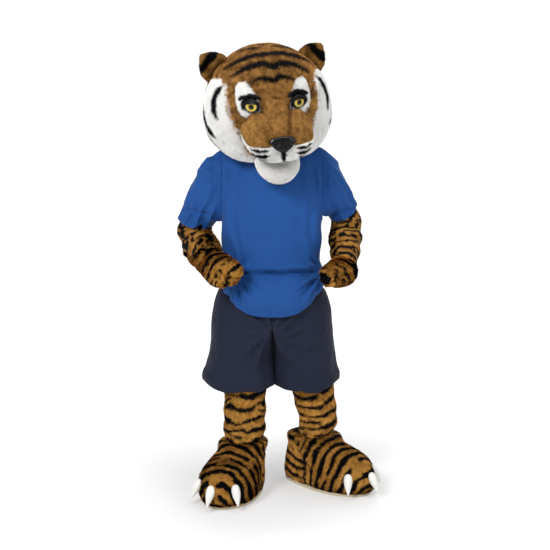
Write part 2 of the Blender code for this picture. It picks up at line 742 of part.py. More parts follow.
def capsule(name, start, end, radii, points, finish, parent):
    """A rounded solid along a line: radii has pairs of (share of the length, radius)."""
    axis = (end - start) / np.linalg.norm(end - start)
    side = np.cross(axis, (0.2, 0.3, 0.93))
    side /= np.linalg.norm(side)
    other = np.cross(axis, side)
    rings, faces = [start], []
    for share, radius in radii:
        centre = lerp(start, end, share)
        for j in range(points):
            turn = 2 * np.pi * j / points
            rings.append(centre + radius * (side * np.cos(turn) + other * np.sin(turn)))
    rings.append(end)
    last = len(rings) - 1
    rows = len(radii)
    for j in range(points):
        k = (j + 1) % points
        faces.append([0, 1 + k, 1 + j])
        for i in range(rows - 1):
            a, b = 1 + i * points, 1 + (i + 1) * points
            faces.append([a + j, a + k, b + k, b + j])
        a = 1 + (rows - 1) * points
        faces.append([a + j, a + k, last])
    return mesh_object(name, rings, faces, finish, parent)


# Boots in their own frame: toes towards -Y and the ankle over the origin.
# Height, front, back, half width at the toes, half width at the heel
BOOT = (
    (0.0124, 0.280, 0.100, 0.108, 0.092),
    (0.045, 0.300, 0.110, 0.125, 0.101),
    (0.085, 0.300, 0.110, 0.127, 0.101),
    (0.120, 0.284, 0.107, 0.121, 0.100),
    (0.146, 0.252, 0.104, 0.111, 0.098),
    (0.164, 0.210, 0.101, 0.102, 0.097),
    (0.178, 0.166, 0.099, 0.098, 0.096),
    (0.193, 0.124, 0.098, 0.097, 0.096),
    (0.222, 0.104, 0.096, 0.096, 0.095),
)
# How much further back the heel of each boot reaches at its foot and at the top of its shaft
HEEL_REACH = {"right": (0.0, 0.0), "left": (0.056, 0.030)}
BOOT_POINTS = 24
TOE_LOBES = 0.055
HEEL_COLUMNS = 7
BOOT_TURNS = {"right": -23.0, "left": 50.0}
# Where each claw stands round the toes, and the height of its root
CLAW_TURNS = (-44.0, -3.0, 38.0)
CLAW_ROOT = 0.104
CLAW_REACH = 0.036
CLAW_DROP = 0.078
CLAW_SEAT = 0.010
CLAW_CENTRE = 0.170
CLAW_SIDES = 8
CLAW_RADII = ((0.02, 0.010), (0.15, 0.017), (0.40, 0.0175), (0.70, 0.011), (0.90, 0.005))


def egg_ring(height, front, back, toe_width, heel_width, lobes=0.0):
    """A level ring round a foot, from the toes round by +X to the heel and back."""
    middle, reach = (back - front) / 2, (back + front) / 2
    ring = []
    for j in range(BOOT_POINTS):
        turn = 2 * np.pi * j / BOOT_POINTS
        ahead = np.cos(turn)
        width = heel_width + (toe_width - heel_width) * smooth(ahead, -0.6, 0.5)
        bump = 1 + lobes * smooth(ahead, 0.3, 0.8) * np.cos(7.5 * np.sin(turn))
        x = width * power(np.sin(turn), 0.92) * bump
        y = middle - reach * power(ahead, 0.92) * bump
        ring.append(np.array([x, y, height]))
    return ring


def make_boot(costume, side):
    """One boot: toe cap, heel with its ankle shaft, sole and three claws."""
    shaft_top = BOOT[-1][0]
    over, under = (RIGHT_LEG if side == "right" else LEFT_LEG)[-3:-1]
    leg = lerp(under, over, (shaft_top - under[0]) / (over[0] - under[0]))
    frame = empty(
        f"boot_{side}_frame", costume, (leg[1], leg[2], 0.0), (0.0, 0.0, np.radians(BOOT_TURNS[side]))
    )
    low_reach, high_reach = HEEL_REACH[side]
    rings = []
    for i, (height, front, back, toe_width, heel_width) in enumerate(BOOT):
        back += lerp(low_reach, high_reach, height / shaft_top)
        lobes = TOE_LOBES * smooth(i, 0.5, 2.0) * smooth(6.0 - i, 0.0, 2.0)
        rings.append(egg_ring(height, front, back, toe_width, heel_width, lobes))
    low, high = HEEL_COLUMNS, BOOT_POINTS - HEEL_COLUMNS

    def panel(i, j):
        return f"boot_heel_{side}" if low <= j < high else f"boot_toe_{side}"

    grip = (leg[3] + SEAT_GAP) / np.cos(np.pi / BOOT_POINTS)
    mouth = []
    for j in range(BOOT_POINTS):
        turn = 2 * np.pi * j / BOOT_POINTS
        mouth.append(np.array([grip * np.sin(turn), -grip * np.cos(turn), shaft_top]))
    cloth = Cloth(BOOT_WALL)
    inner = [[None] * BOOT_POINTS for _ in rings[:-1]] + [mouth]
    cloth.grid(rings, panel, wrap=True, inner=inner)
    cloth.sew("orange_fur", frame, [f"boot_toe_{side}", f"boot_heel_{side}"])

    height, front, back, toe_width, heel_width = BOOT[0]
    back += low_reach
    outline = egg_ring(0.0, front + SOLE_LIP, back + SOLE_LIP, toe_width + SOLE_LIP, heel_width + SOLE_LIP)
    top = [p + np.array([0, 0, SOLE_THICKNESS]) for p in outline]
    count = len(outline)
    faces = [list(range(count))[::-1], [count + j for j in range(count)]]
    faces += [[j, (j + 1) % count, count + (j + 1) % count, count + j] for j in range(count)]
    mesh_object(f"boot_sole_{side}", [*outline, *top], faces, "pale_sole", frame)

    skin = Cloth(0.0)
    skin.grid(rings, "skin", wrap=True)
    normals = skin.normals()
    grown = [p + n * SEAT_GAP for p, n in zip(skin.outer, normals)]
    lower, upper = range(count), range(len(grown) - count, len(grown))
    faces = [*skin.faces, list(lower)[::-1], list(upper)]
    guide = mesh_object(f"boot_{side}_guide", grown, faces, "orange_fur", frame, guide=True)
    toe_ring = [*grown[2 * count : 3 * count]]
    for number, turn in enumerate(CLAW_TURNS, 1):
        place = (np.radians(turn) / (2 * np.pi) * count) % count
        near, share = int(place), place % 1
        root = lerp(toe_ring[near], toe_ring[(near + 1) % count], share)
        way = np.array([root[0], root[1] + CLAW_CENTRE, 0.0])
        way /= np.linalg.norm(way)
        root[2] = CLAW_ROOT
        start = root - way * CLAW_SEAT
        tip = root + way * CLAW_REACH - np.array([0, 0, CLAW_DROP])
        name = f"claw_{side}_{number}"
        claw = capsule(name, start, tip, CLAW_RADII, CLAW_SIDES, "white_claw", frame)
        boolean(claw, guide, "DIFFERENCE")


# The head in its own frame: the face looks to -Y and the middle of the skull is the origin.
# Height, half width, front, back
HEAD_POSE = {"location": (-0.022, -0.045, 1.668), "pitch": 15.0, "roll": -6.0, "yaw": 8.0}
HEAD = (
    (-0.172, 0.132, 0.112, 0.116),
    (-0.198, 0.178, 0.160, 0.150),
    (-0.184, 0.216, 0.200, 0.184),
    (-0.138, 0.248, 0.230, 0.210),
    (-0.072, 0.264, 0.246, 0.228),
    (0.005, 0.264, 0.250, 0.238),
    (0.075, 0.247, 0.236, 0.234),
    (0.135, 0.214, 0.206, 0.212),
    (0.184, 0.166, 0.162, 0.172),
    (0.222, 0.104, 0.102, 0.112),
)
# The rim rises at the sides to stand clear of the shoulders, and drops at the back to cover the nape
RIM_LIFTS = (0.042, 0.042, 0.036, 0.016)
NAPE_DROP = 2.2
HEAD_TOP = (0.0, 0.004, 0.242)
HEAD_POINTS = 32
HEAD_SQUARENESS = 2.15
# The snout: depth y, height of its middle, half width, height above and below the middle, and the half
# width of its broad bridge, which runs up between the eyes
SNOUT = (
    (-0.150, -0.024, 0.142, 0.118, 0.112, 0.070),
    (-0.222, -0.042, 0.142, 0.120, 0.106, 0.068),
    (-0.262, -0.057, 0.139, 0.110, 0.097, 0.066),
    (-0.296, -0.069, 0.135, 0.096, 0.089, 0.064),
    (-0.326, -0.080, 0.127, 0.076, 0.079, 0.060),
    (-0.352, -0.090, 0.110, 0.054, 0.066, 0.054),
    (-0.368, -0.097, 0.072, 0.034, 0.045, 0.038),
)
SNOUT_TIP = (0.0, -0.375, -0.099)
SNOUT_POINTS = 24
FLANK_TOP = 0.66
BRIDGE_POWER = 0.60
SNOUT_FULLNESS = (0.85, 0.90)
CHIN_FULLNESS = (1.15, 0.95)
# The pads' upper edge slants up to the back: its height below the nose and at the skull
PAD_LEVELS = (-0.094, -0.062)
PAD_DEPTHS = (-0.380, -0.200)
PAD_REACH = -0.50
CHIN = (
    (-0.180, -0.192, 0.090, 0.060, 0.046, 0.090),
    (-0.212, -0.202, 0.089, 0.058, 0.064, 0.089),
    (-0.245, -0.206, 0.081, 0.050, 0.070, 0.081),
    (-0.280, -0.206, 0.062, 0.038, 0.060, 0.062),
    (-0.304, -0.204, 0.038, 0.022, 0.038, 0.038),
)
CHIN_TIP = (0.0, -0.310, -0.203)
CHIN_POINTS = 18
# White panels, as outlines in the side view (y, z) for a cheek and the front view (x, z) for an eye patch
CHEEK_OUTLINE = (
    (-0.150, 0.110), (-0.176, 0.058), (-0.196, 0.000), (-0.214, -0.060), (-0.206, -0.130),
    (-0.160, -0.300), (0.060, -0.300), (0.090, -0.120), (0.080, 0.000), (0.036, 0.092),
    (-0.030, 0.128), (-0.100, 0.134),
)
EYE_PATCH_OUTLINE = (
    (0.060, 0.024), (0.066, 0.066), (0.080, 0.108), (0.102, 0.132), (0.128, 0.130),
    (0.144, 0.104), (0.147, 0.060), (0.139, 0.020), (0.116, -0.004), (0.080, -0.002),
)
# Eyes: middle, size, how far the dome stands out, how much it turns to the side, and its front and back
EYE = {
    "x": 0.097,
    "z": 0.048,
    "half_width": 0.031,
    "half_height": 0.024,
    "depth": 0.016,
    "lean": 0.55,
    "front": -0.232,
    "back": -0.180,
}
EYE_ROWS = 4
EYE_POINTS = 16
EYE_CLEARANCE = 1.02
BROW_OUTLINE = (
    (0.058, 0.078), (0.060, 0.088), (0.078, 0.099), (0.098, 0.103), (0.118, 0.099), (0.139, 0.084),
    (0.136, 0.077), (0.117, 0.087), (0.098, 0.090), (0.079, 0.087),
)
BROW_HEIGHT = 0.010
NOSE_OUTLINE = (
    (-0.053, -0.068), (-0.043, -0.054), (0.0, -0.050), (0.043, -0.054), (0.053, -0.068),
    (0.036, -0.093), (0.012, -0.110), (-0.012, -0.110), (-0.036, -0.093),
)
NOSE_HEIGHT = 0.016
# How far the guides that cut the panels reach: outwards for a cheek, and front to back for the others
CHEEK_NEAR = 0.06
CHEEK_FAR = 0.40
PATCH_DEPTHS = (-0.40, -0.08)
NOSE_DEPTHS = (-0.46, -0.30)
BROW_DEPTHS = (-0.34, -0.12)


def rim_lift(i, ahead):
    """How far ring i of the head rises where ahead is 1 at the front and -1 at the back."""
    lift = RIM_LIFTS[i] if i < len(RIM_LIFTS) else 0.0
    return lift * (smooth(-ahead, -0.8, 0.0) - NAPE_DROP * smooth(-ahead, 0.1, 1.0))


def head_rings():
    rings = []
    for i, (height, half_width, front, back) in enumerate(HEAD):
        ring = []
        for j in range(HEAD_POINTS):
            turn = 2 * np.pi * j / HEAD_POINTS
            across, ahead = np.sin(turn), np.cos(turn)
            depth = front if ahead >= 0 else back
            x = half_width * power(across, 2 / HEAD_SQUARENESS)
            y = -depth * power(ahead, 2 / HEAD_SQUARENESS)
            ring.append(np.array([x, y, height + rim_lift(i, ahead)]))
        rings.append(ring)
    return rings


def snout_rings(table, points, fullness):
    """Rings across the snout or the chin. The upper half draws in to the width of the bridge, and fullness
    is the power of the curve across and below: the higher, the more the lower half tapers."""
    rings = []
    for y, z, half_width, above, below, bridge in table:
        ring = []
        for j in range(points):
            turn = 2 * np.pi * j / points
            across, up = np.sin(turn), np.cos(turn)
            height = above if up >= 0 else below
            flank = smooth(up, 0.0, FLANK_TOP)
            width = lerp(half_width, bridge, flank)
            x = -width * power(across, lerp(fullness[0], BRIDGE_POWER, flank))
            ring.append(np.array([x, y, z + height * power(up, lerp(fullness[1], BRIDGE_POWER, flank))]))
        rings.append(ring)
    return rings


def closed_guide(name, cloth, grow, open_ring, parent):
    """A solid filled out to a surface grown by grow, closed across its open ring."""
    normals = cloth.normals()
    points = [p + n * grow for p, n in zip(cloth.outer, normals)]
    faces = [*cloth.faces, list(open_ring)[::-1]]
    return mesh_object(name, points, faces, "white_fur", parent, guide=True)


def prism(name, outline, axis, low, high, parent):
    """A guide that fills an outline from low to high along X or Y."""
    points = []
    for level in (low, high):
        for a, b in outline:
            points.append((level, a, b) if axis == "X" else (a, level, b))
    count = len(outline)
    faces = [list(range(count))[::-1], list(range(count, 2 * count))]
    faces += [[j, (j + 1) % count, count + (j + 1) % count, count + j] for j in range(count)]
    made = mesh_object(name, points, faces, "white_fur", parent, guide=True)
    solid = made.data
    volume = sum(
        solid.vertices[p.vertices[0]].co.dot(
            solid.vertices[p.vertices[i]].co.cross(solid.vertices[p.vertices[i + 1]].co)
        )
        for p in solid.polygons
        for i in range(1, len(p.vertices) - 1)
    )
    if volume < 0:
        solid.flip_normals()
    return made


def grown_outline(outline, distance):
    """The outline moved outwards by a distance."""
    points = np.array(outline, float)
    ahead, behind = np.roll(points, -1, axis=0), np.roll(points, 1, axis=0)
    twice_area = np.sum(points[:, 0] * ahead[:, 1] - ahead[:, 0] * points[:, 1])
    along = ahead - behind
    way = np.column_stack([along[:, 1], -along[:, 0]]) / np.linalg.norm(along, axis=1)[:, None]
    return points + way * distance * np.sign(twice_area)


def mirrored(outline):
    return [(-a, b) for a, b in outline]


def make_head(costume):
    """The head: a foam and fur shell in panels, with a snout, chin, ears, eyes, brows and nose."""
    pose = HEAD_POSE
    turn = Euler(
        (np.radians(pose["pitch"]), np.radians(pose["roll"]), np.radians(pose["yaw"])), "XYZ"
    )
    head = empty("head_frame", costume, pose["location"], turn)

    shell = Cloth(HEAD_WALL)
    ids = shell.grid(head_rings(), "head_shell", wrap=True)
    shell.cap(ids[-1], HEAD_TOP, "head_shell")
    wall = shell.panel("head_shell")
    skull = closed_guide("head_guide", shell, SEAT_GAP, ids[0], head)
    near_skull = closed_guide("head_brow_guide", shell, BROW_HEIGHT, ids[0], head)

    crown = mesh_object("head_crown", *wall, "brown_fur", head)
    for side, sign in (("right", -1), ("left", 1)):
        near, far = sign * CHEEK_NEAR, sign * CHEEK_FAR
        cheek_guide = prism(f"cheek_{side}_guide", CHEEK_OUTLINE, "X", near, far, head)
        around = grown_outline(CHEEK_OUTLINE, SEAM_GAP)
        near -= sign * SEAM_GAP
        cheek_hole = prism(f"cheek_{side}_hole", around, "X", near, far, head)
        boolean(mesh_object(f"head_cheek_{side}", *wall, "white_fur", head), cheek_guide, "INTERSECT")
        boolean(crown, cheek_hole, "DIFFERENCE")
        outline = EYE_PATCH_OUTLINE if sign > 0 else mirrored(EYE_PATCH_OUTLINE)
        patch_guide = prism(f"patch_{side}_guide", outline, "Y", *PATCH_DEPTHS, head)
        around = grown_outline(outline, SEAM_GAP)
        patch_hole = prism(f"patch_{side}_hole", around, "Y", *PATCH_DEPTHS, head)
        boolean(mesh_object(f"head_eye_patch_{side}", *wall, "white_fur", head), patch_guide, "INTERSECT")
        boolean(crown, patch_hole, "DIFFERENCE")

    snout_cloth = Cloth(SNOUT_WALL)
    ids = snout_cloth.grid(snout_rings(SNOUT, SNOUT_POINTS, SNOUT_FULLNESS), "snout", wrap=True)
    snout_cloth.cap(ids[-1], SNOUT_TIP, "snout")
    snout = snout_cloth.panel("snout")
    snout_guide = closed_guide("snout_guide", snout_cloth, SEAT_GAP, ids[0], head)
    near_snout = closed_guide("snout_nose_guide", snout_cloth, NOSE_HEIGHT, ids[0], head)
    slope = (PAD_LEVELS[1] - PAD_LEVELS[0]) / (PAD_DEPTHS[1] - PAD_DEPTHS[0])
    front_level = PAD_LEVELS[0] + slope * (PAD_REACH - PAD_DEPTHS[0])
    back_level = PAD_LEVELS[0] - slope * PAD_DEPTHS[0]
    low_edge = [(PAD_REACH, front_level), (0.0, back_level)]
    high_edge = [(y, z + SEAM_GAP) for y, z in low_edge]
    upper = [*high_edge, (0.0, -PAD_REACH), (PAD_REACH, -PAD_REACH)]
    lower = [(PAD_REACH, PAD_REACH), (0.0, PAD_REACH), *low_edge[::-1]]
    above = prism("pad_cut_upper", upper, "X", PAD_REACH, -PAD_REACH, head)
    below = prism("pad_cut_lower", lower, "X", PAD_REACH, -PAD_REACH, head)
    for name, finish, half in (("snout_top", "brown_fur", above), ("snout_pads", "white_fur", below)):
        made = mesh_object(name, *snout, finish, head)
        boolean(made, half, "INTERSECT")
        boolean(made, skull, "DIFFERENCE")

    chin_cloth = Cloth(SNOUT_WALL)
    ids = chin_cloth.grid(snout_rings(CHIN, CHIN_POINTS, CHIN_FULLNESS), "head_chin", wrap=True)
    chin_cloth.cap(ids[-1], CHIN_TIP, "head_chin")
    chin = mesh_object("head_chin", *chin_cloth.panel("head_chin"), "white_fur", head)
    boolean(chin, skull, "DIFFERENCE")
    boolean(chin, snout_guide, "DIFFERENCE")

    nose = prism("nose", NOSE_OUTLINE, "Y", *NOSE_DEPTHS, head)
    nose.hide_render = False
    nose.display_type = "TEXTURED"
    nose.data.materials.clear()
    nose.data.materials.append(finish_of("black_vinyl"))
    boolean(nose, near_snout, "INTERSECT")
    boolean(nose, snout_guide, "DIFFERENCE")

    for side, sign in (("right", -1), ("left", 1)):
        make_eye(head, side, sign, (skull, snout_guide))
        make_brow(head, side, sign, skull, near_skull)
        make_ear(head, side, sign, skull)
    return head


def make_eye(head, side, sign, bodies):
    """An eye: a shallow resin dome on the white patch."""
    eye = EYE
    points, faces = [], []
    rows, count = EYE_ROWS, EYE_POINTS
    for i in range(1, rows):
        lift = np.pi / 2 * i / rows
        for j in range(count):
            turn = 2 * np.pi * j / count
            x = sign * eye["x"] + eye["half_width"] * np.cos(turn) * np.cos(lift)
            z = eye["z"] + eye["half_height"] * np.sin(turn) * np.cos(lift)
            lean = eye["lean"] * (abs(x) - eye["x"])
            points.append((x, eye["front"] + lean - eye["depth"] * np.sin(lift), z))
    back = [(p[0], eye["back"], p[2]) for p in points[:count]]
    points += [*back, (sign * eye["x"], eye["front"] - eye["depth"], eye["z"])]
    top = len(points) - 1
    for i in range(rows - 2):
        for j in range(count):
            k = (j + 1) % count
            a, b = i * count, (i + 1) * count
            faces.append([a + j, a + k, b + k, b + j])
    last, base = (rows - 2) * count, (rows - 1) * count
    for j in range(count):
        k = (j + 1) % count
        faces.append([last + j, last + k, top])
        faces.append([base + j, base + k, k, j])
    faces.append([base + j for j in range(count)][::-1])
    made = mesh_object(f"eye_{side}", points, faces, "eye_resin", head)
    for body in bodies:
        boolean(made, body, "DIFFERENCE")


def make_brow(head, side, sign, skull, near_skull):
    """A brow: a black strip that lies along the top of the eye."""
    outline = BROW_OUTLINE if sign > 0 else mirrored(BROW_OUTLINE)
    brow = prism(f"brow_{side}", outline, "Y", *BROW_DEPTHS, head)
    brow.hide_render = False
    brow.display_type = "TEXTURED"
    brow.data.materials.clear()
    brow.data.materials.append(finish_of("black_fur"))
    boolean(brow, near_skull, "INTERSECT")
    boolean(brow, skull, "DIFFERENCE")
    eye = bpy.data.objects[f"eye_{side}"]
    hole = bpy.data.objects.new(f"eye_{side}_socket", eye.data.copy())
    hole.parent = head
    hole.hide_render = True
    hole.display_type = "WIRE"
    middle = Vector((sign * EYE["x"], EYE["front"], EYE["z"]))
    for vertex in hole.data.vertices:
        vertex.co = middle + (vertex.co - middle) * EYE_CLEARANCE
    bpy.context.scene.collection.objects.link(hole)
    boolean(brow, hole, "DIFFERENCE")


# Ears: width across, height, depth of the cup, and where the base stands on the skull
EAR = {"half_width": 0.072, "height": 0.136, "cup": 0.036, "x": 0.151, "y": 0.035, "z": 0.120}
EAR_LEAN = 47.0
EAR_TURN = 12.0
EAR_COLUMNS = 10
EAR_ROWS = 6
# The neck tube: how far it lies inside the suit's neck, and how far it hangs down in it
NECK_EASE = 0.0020
NECK_DROP = 0.045
NECK_DROP_LEAN = 0.016
NECK_OVERLAP = 0.010
RIM_EASE = 0.0006


def make_ear(head, side, sign, skull):
    """An ear: a rounded cup of fur that opens to the front."""
    ear = EAR
    turn = Euler((np.radians(-8.0), np.radians(sign * EAR_LEAN), np.radians(sign * EAR_TURN)), "XYZ")
    frame = empty(f"ear_{side}_frame", head, (sign * ear["x"], ear["y"], ear["z"]), turn)
    cloth = Cloth(EAR_WALL)
    rows = []
    for i in range(EAR_ROWS + 1):
        up = i / EAR_ROWS
        width = ear["half_width"] * np.sqrt(max(1 - (0.92 * up) ** 3.2, 0.0)) * (0.86 + 0.14 * up)
        row = []
        for j in range(EAR_COLUMNS + 1):
            across = 2 * j / EAR_COLUMNS - 1
            edge = 0.16 * across * across * smooth(up, 0.4, 1.0)
            x = width * across
            y = -ear["cup"] * across * across * (1 - 0.45 * up) - 0.020 * up * up
            row.append(np.array([x, y, ear["height"] * (up - edge)]))
        rows.append(row)
    cloth.grid([row[::-1] for row in rows], f"ear_{side}")
    made = mesh_object(f"ear_{side}", *cloth.panel(f"ear_{side}"), "brown_fur", frame)
    boolean(made, skull, "DIFFERENCE")


def make_neck(costume, head, suit_yokes):
    """The cloth tube that hangs from the head's opening into the suit's neck."""
    bpy.context.view_layer.update()
    to_costume = costume.matrix_world.inverted() @ head.matrix_world
    loop = neckline(*suit_yokes)
    start, step = 3 * HEAD_POINTS // 4, HEAD_POINTS // len(loop)
    rim = head_rings()[0]
    opening = []
    for k in range(len(loop)):
        p = rim[(start + k * step) % HEAD_POINTS]
        way = np.array([p[0], p[1], 0.0])
        opening.append(p - way / np.linalg.norm(way) * RIM_EASE)
    raised = [p + np.array([0, 0, NECK_OVERLAP]) for p in opening]
    throat = outwards(loop, -NECK_EASE)
    rings = [
        [p - np.array([0, 0, NECK_DROP]) for p in outwards(loop, -NECK_DROP_LEAN)],
        throat,
        [p + np.array([0, 0, 2 * NECKBAND_HEIGHT]) for p in throat],
        [np.array(to_costume @ Vector(p)) for p in opening],
        [np.array(to_costume @ Vector(p)) for p in raised],
    ]
    cloth = Cloth(NECK_WALL)
    cloth.grid(rings, "head_neck", wrap=True)
    cloth.sew("neck_cloth", costume, ["head_neck"])


def main():
    clear_scene()
    costume = empty("costume", location=(0.0, 0.0, -SHOULDER_HEIGHT))
    suit_yokes, wrists = make_suit(costume)
    make_shirt(costume)
    make_shorts(costume)
    make_paw(costume, "paw_right", wrists[0], RIGHT_PAW, RIGHT_PAW_TIP, True)
    make_paw(costume, "paw_left", wrists[1], LEFT_PAW, LEFT_PAW_TIP, False)
    make_boot(costume, "right")
    make_boot(costume, "left")
    head = make_head(costume)
    make_neck(costume, head, suit_yokes)


main()
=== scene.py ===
import math

import bpy
import numpy as np
from mathutils import Euler, Matrix, Vector
from mathutils.kdtree import KDTree


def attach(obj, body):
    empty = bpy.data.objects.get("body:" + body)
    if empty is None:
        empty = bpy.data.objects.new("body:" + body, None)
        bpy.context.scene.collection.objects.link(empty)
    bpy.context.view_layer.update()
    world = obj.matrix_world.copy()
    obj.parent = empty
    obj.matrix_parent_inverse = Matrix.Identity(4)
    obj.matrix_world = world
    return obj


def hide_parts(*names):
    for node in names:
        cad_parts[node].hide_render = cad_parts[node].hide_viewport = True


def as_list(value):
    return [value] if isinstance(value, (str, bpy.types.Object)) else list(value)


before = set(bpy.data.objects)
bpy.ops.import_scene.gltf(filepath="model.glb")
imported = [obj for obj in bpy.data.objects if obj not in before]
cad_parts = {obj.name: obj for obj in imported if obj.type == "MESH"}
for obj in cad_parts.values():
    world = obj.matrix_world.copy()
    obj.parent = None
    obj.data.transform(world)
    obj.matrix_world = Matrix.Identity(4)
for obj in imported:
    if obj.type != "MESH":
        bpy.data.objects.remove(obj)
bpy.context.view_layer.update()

shoulderHeight = 1.44  # the floor is this far below the origin

# camera, floor and light
view = {"x": 0.013, "back": 4.2, "height": 1.45, "downDegrees": 6.98, "lens": 63.69}
light = {
    "world": 0.26,
    "key": {"at": (-1.6, -2.8, 1.5), "size": 1.3, "watts": 98},
    "fill": {"at": (2.4, -2.2, 0.9), "size": 2.2, "watts": 30},
    "top": {"at": (0.3, -0.3, 2.3), "size": 2.0, "watts": 42},
    "rim": {"at": (1.2, 2.2, 1.2), "size": 1.6, "watts": 22},
}
# the floor is flat up to the bend, and its glow is dimmed close to the feet: a painted shadow round them
sweep = {
    "half": 9.0, "front": -7.0, "bend": 4.0, "flatShare": 0.6, "steps": 24,
    "tone": 0.60, "roughness": 0.6, "glow": 0.78,
    "paintedShadowGlow": 0.42, "centre": (0.05, -0.05), "paintedShadowFade": (0.45, 1.70),
}


def setStage():
    scene = bpy.context.scene
    scene.view_settings.view_transform = "Standard"
    scene.view_settings.look = "None"
    camData = bpy.data.cameras.new("camera")
    camData.lens, camData.sensor_width, camData.clip_end = view["lens"], 36.0, 60.0
    cam = bpy.data.objects.new("camera", camData)
    scene.collection.objects.link(cam)
    cam.location = (view["x"], -view["back"], view["height"] - shoulderHeight)
    cam.rotation_euler = (math.radians(90 - view["downDegrees"]), 0, 0)
    scene.camera = cam
    world = bpy.data.worlds.new("studio")
    world.use_nodes = True
    world.node_tree.nodes["Background"].inputs["Color"].default_value = (1, 1, 1, 1)
    world.node_tree.nodes["Background"].inputs["Strength"].default_value = light["world"]
    scene.world = world
    for name in ("key", "fill", "top", "rim"):
        one = light[name]
        data = bpy.data.lights.new(name, "AREA")
        data.shape, data.size, data.energy = "DISK", one["size"], one["watts"]
        lamp = bpy.data.objects.new(name, data)
        scene.collection.objects.link(lamp)
        lamp.location = one["at"]
        aim = Vector((0, 0, -0.4)) - lamp.location
        lamp.rotation_euler = aim.to_track_quat("-Z", "Y").to_euler()
    makeFloor(scene)


def makeFloor(scene):
    # a pale sweep: flat under the figure, curving up far behind it
    rows, bend, share = [], sweep["bend"], sweep["flatShare"]
    for i in range(sweep["steps"] + 1):
        t = i / sweep["steps"]
        if t < share:
            rows.append((sweep["front"] + (bend - sweep["front"]) * t / share, 0.0))
        else:
            a = (t - share) / (1 - share) * math.pi / 2
            rows.append((bend + bend * math.sin(a), bend - bend * math.cos(a)))
    points = [(x, y, z - shoulderHeight) for y, z in rows for x in (-sweep["half"], sweep["half"])]
    faces = [(2 * i, 2 * i + 1, 2 * i + 3, 2 * i + 2) for i in range(sweep["steps"])]
    mesh = bpy.data.meshes.new("floor")
    mesh.from_pydata(points, [], faces)
    mesh.shade_smooth()
    floor = bpy.data.objects.new("floor", mesh)
    scene.collection.objects.link(floor)
    pale, tree, shader = freshMaterial("paleFloor")
    setInputs(shader, {
        "Base Color": (sweep["tone"],) * 3, "Roughness": sweep["roughness"], "Emission Strength": sweep["glow"],
    })
    # painted shadow: the floor's glow is dimmed round the feet and comes back with distance from them
    where = addNode(tree, "ShaderNodeTexCoord").outputs["Object"]
    feet = (*sweep["centre"], -shoulderHeight)
    far = addNode(tree, "ShaderNodeVectorMath", {0: where, 1: feet}, operation="DISTANCE").outputs["Value"]
    start, end = sweep["paintedShadowFade"]
    far = mathNode(tree, "MULTIPLY_ADD", far, 1 / (end - start), -start / (end - start), clamp=True)
    near = (sweep["paintedShadowGlow"],) * 3 + (1,)
    tree.links.new(mixColor(tree, far, near, (1, 1, 1, 1)), shader.inputs["Emission Color"])
    mesh.materials.append(pale)


# node helpers and shared groups
def addNode(tree, kind, inputs=None, **props):
    node = tree.nodes.new(kind)
    for key, value in props.items():
        setattr(node, key, value)
    for key, value in (inputs or {}).items():
        if isinstance(value, bpy.types.NodeSocket):
            tree.links.new(value, node.inputs[key])
        else:
            node.inputs[key].default_value = value
    return node


def mathNode(tree, operation, a, b=0.0, c=0.0, clamp=False):
    node = tree.nodes.new("ShaderNodeMath")
    node.operation, node.use_clamp = operation, clamp
    for i, value in enumerate((a, b, c)):
        if isinstance(value, bpy.types.NodeSocket):
            tree.links.new(value, node.inputs[i])
        else:
            node.inputs[i].default_value = value
    return node.outputs[0]


def mixColor(tree, share, a, b, blend="MIX"):
    node = tree.nodes.new("ShaderNodeMix")
    node.data_type, node.blend_type = "RGBA", blend
    for key, value in ((0, share), (6, a), (7, b)):
        if isinstance(value, bpy.types.NodeSocket):
            tree.links.new(value, node.inputs[key])
        else:
            node.inputs[key].default_value = value
    return node.outputs[2]


def setInputs(node, values):
    for key, value in values.items():
        node.inputs[key].default_value = (*value, 1) if isinstance(value, tuple) else value


def attributeOf(tree, name, socket="Fac"):
    return addNode(tree, "ShaderNodeAttribute", attribute_name=name).outputs[socket]


def noiseOf(tree, where, scale, detail, roughness=0.5):
    given = {"Vector": where, "Scale": scale, "Detail": detail, "Roughness": roughness}
    return addNode(tree, "ShaderNodeTexNoise", given).outputs["Fac"]


def newGroup(name, inputs, outputs):
    group = bpy.data.node_groups.new(name, "ShaderNodeTree")
    for label, kind, value in inputs:
        group.interface.new_socket(label, in_out="INPUT", socket_type=kind).default_value = value
    for label, kind in outputs:
        group.interface.new_socket(label, in_out="OUTPUT", socket_type=kind)
    start = group.nodes.new("NodeGroupInput")
    end = group.nodes.new("NodeGroupOutput")
    return group, start.outputs, end.inputs


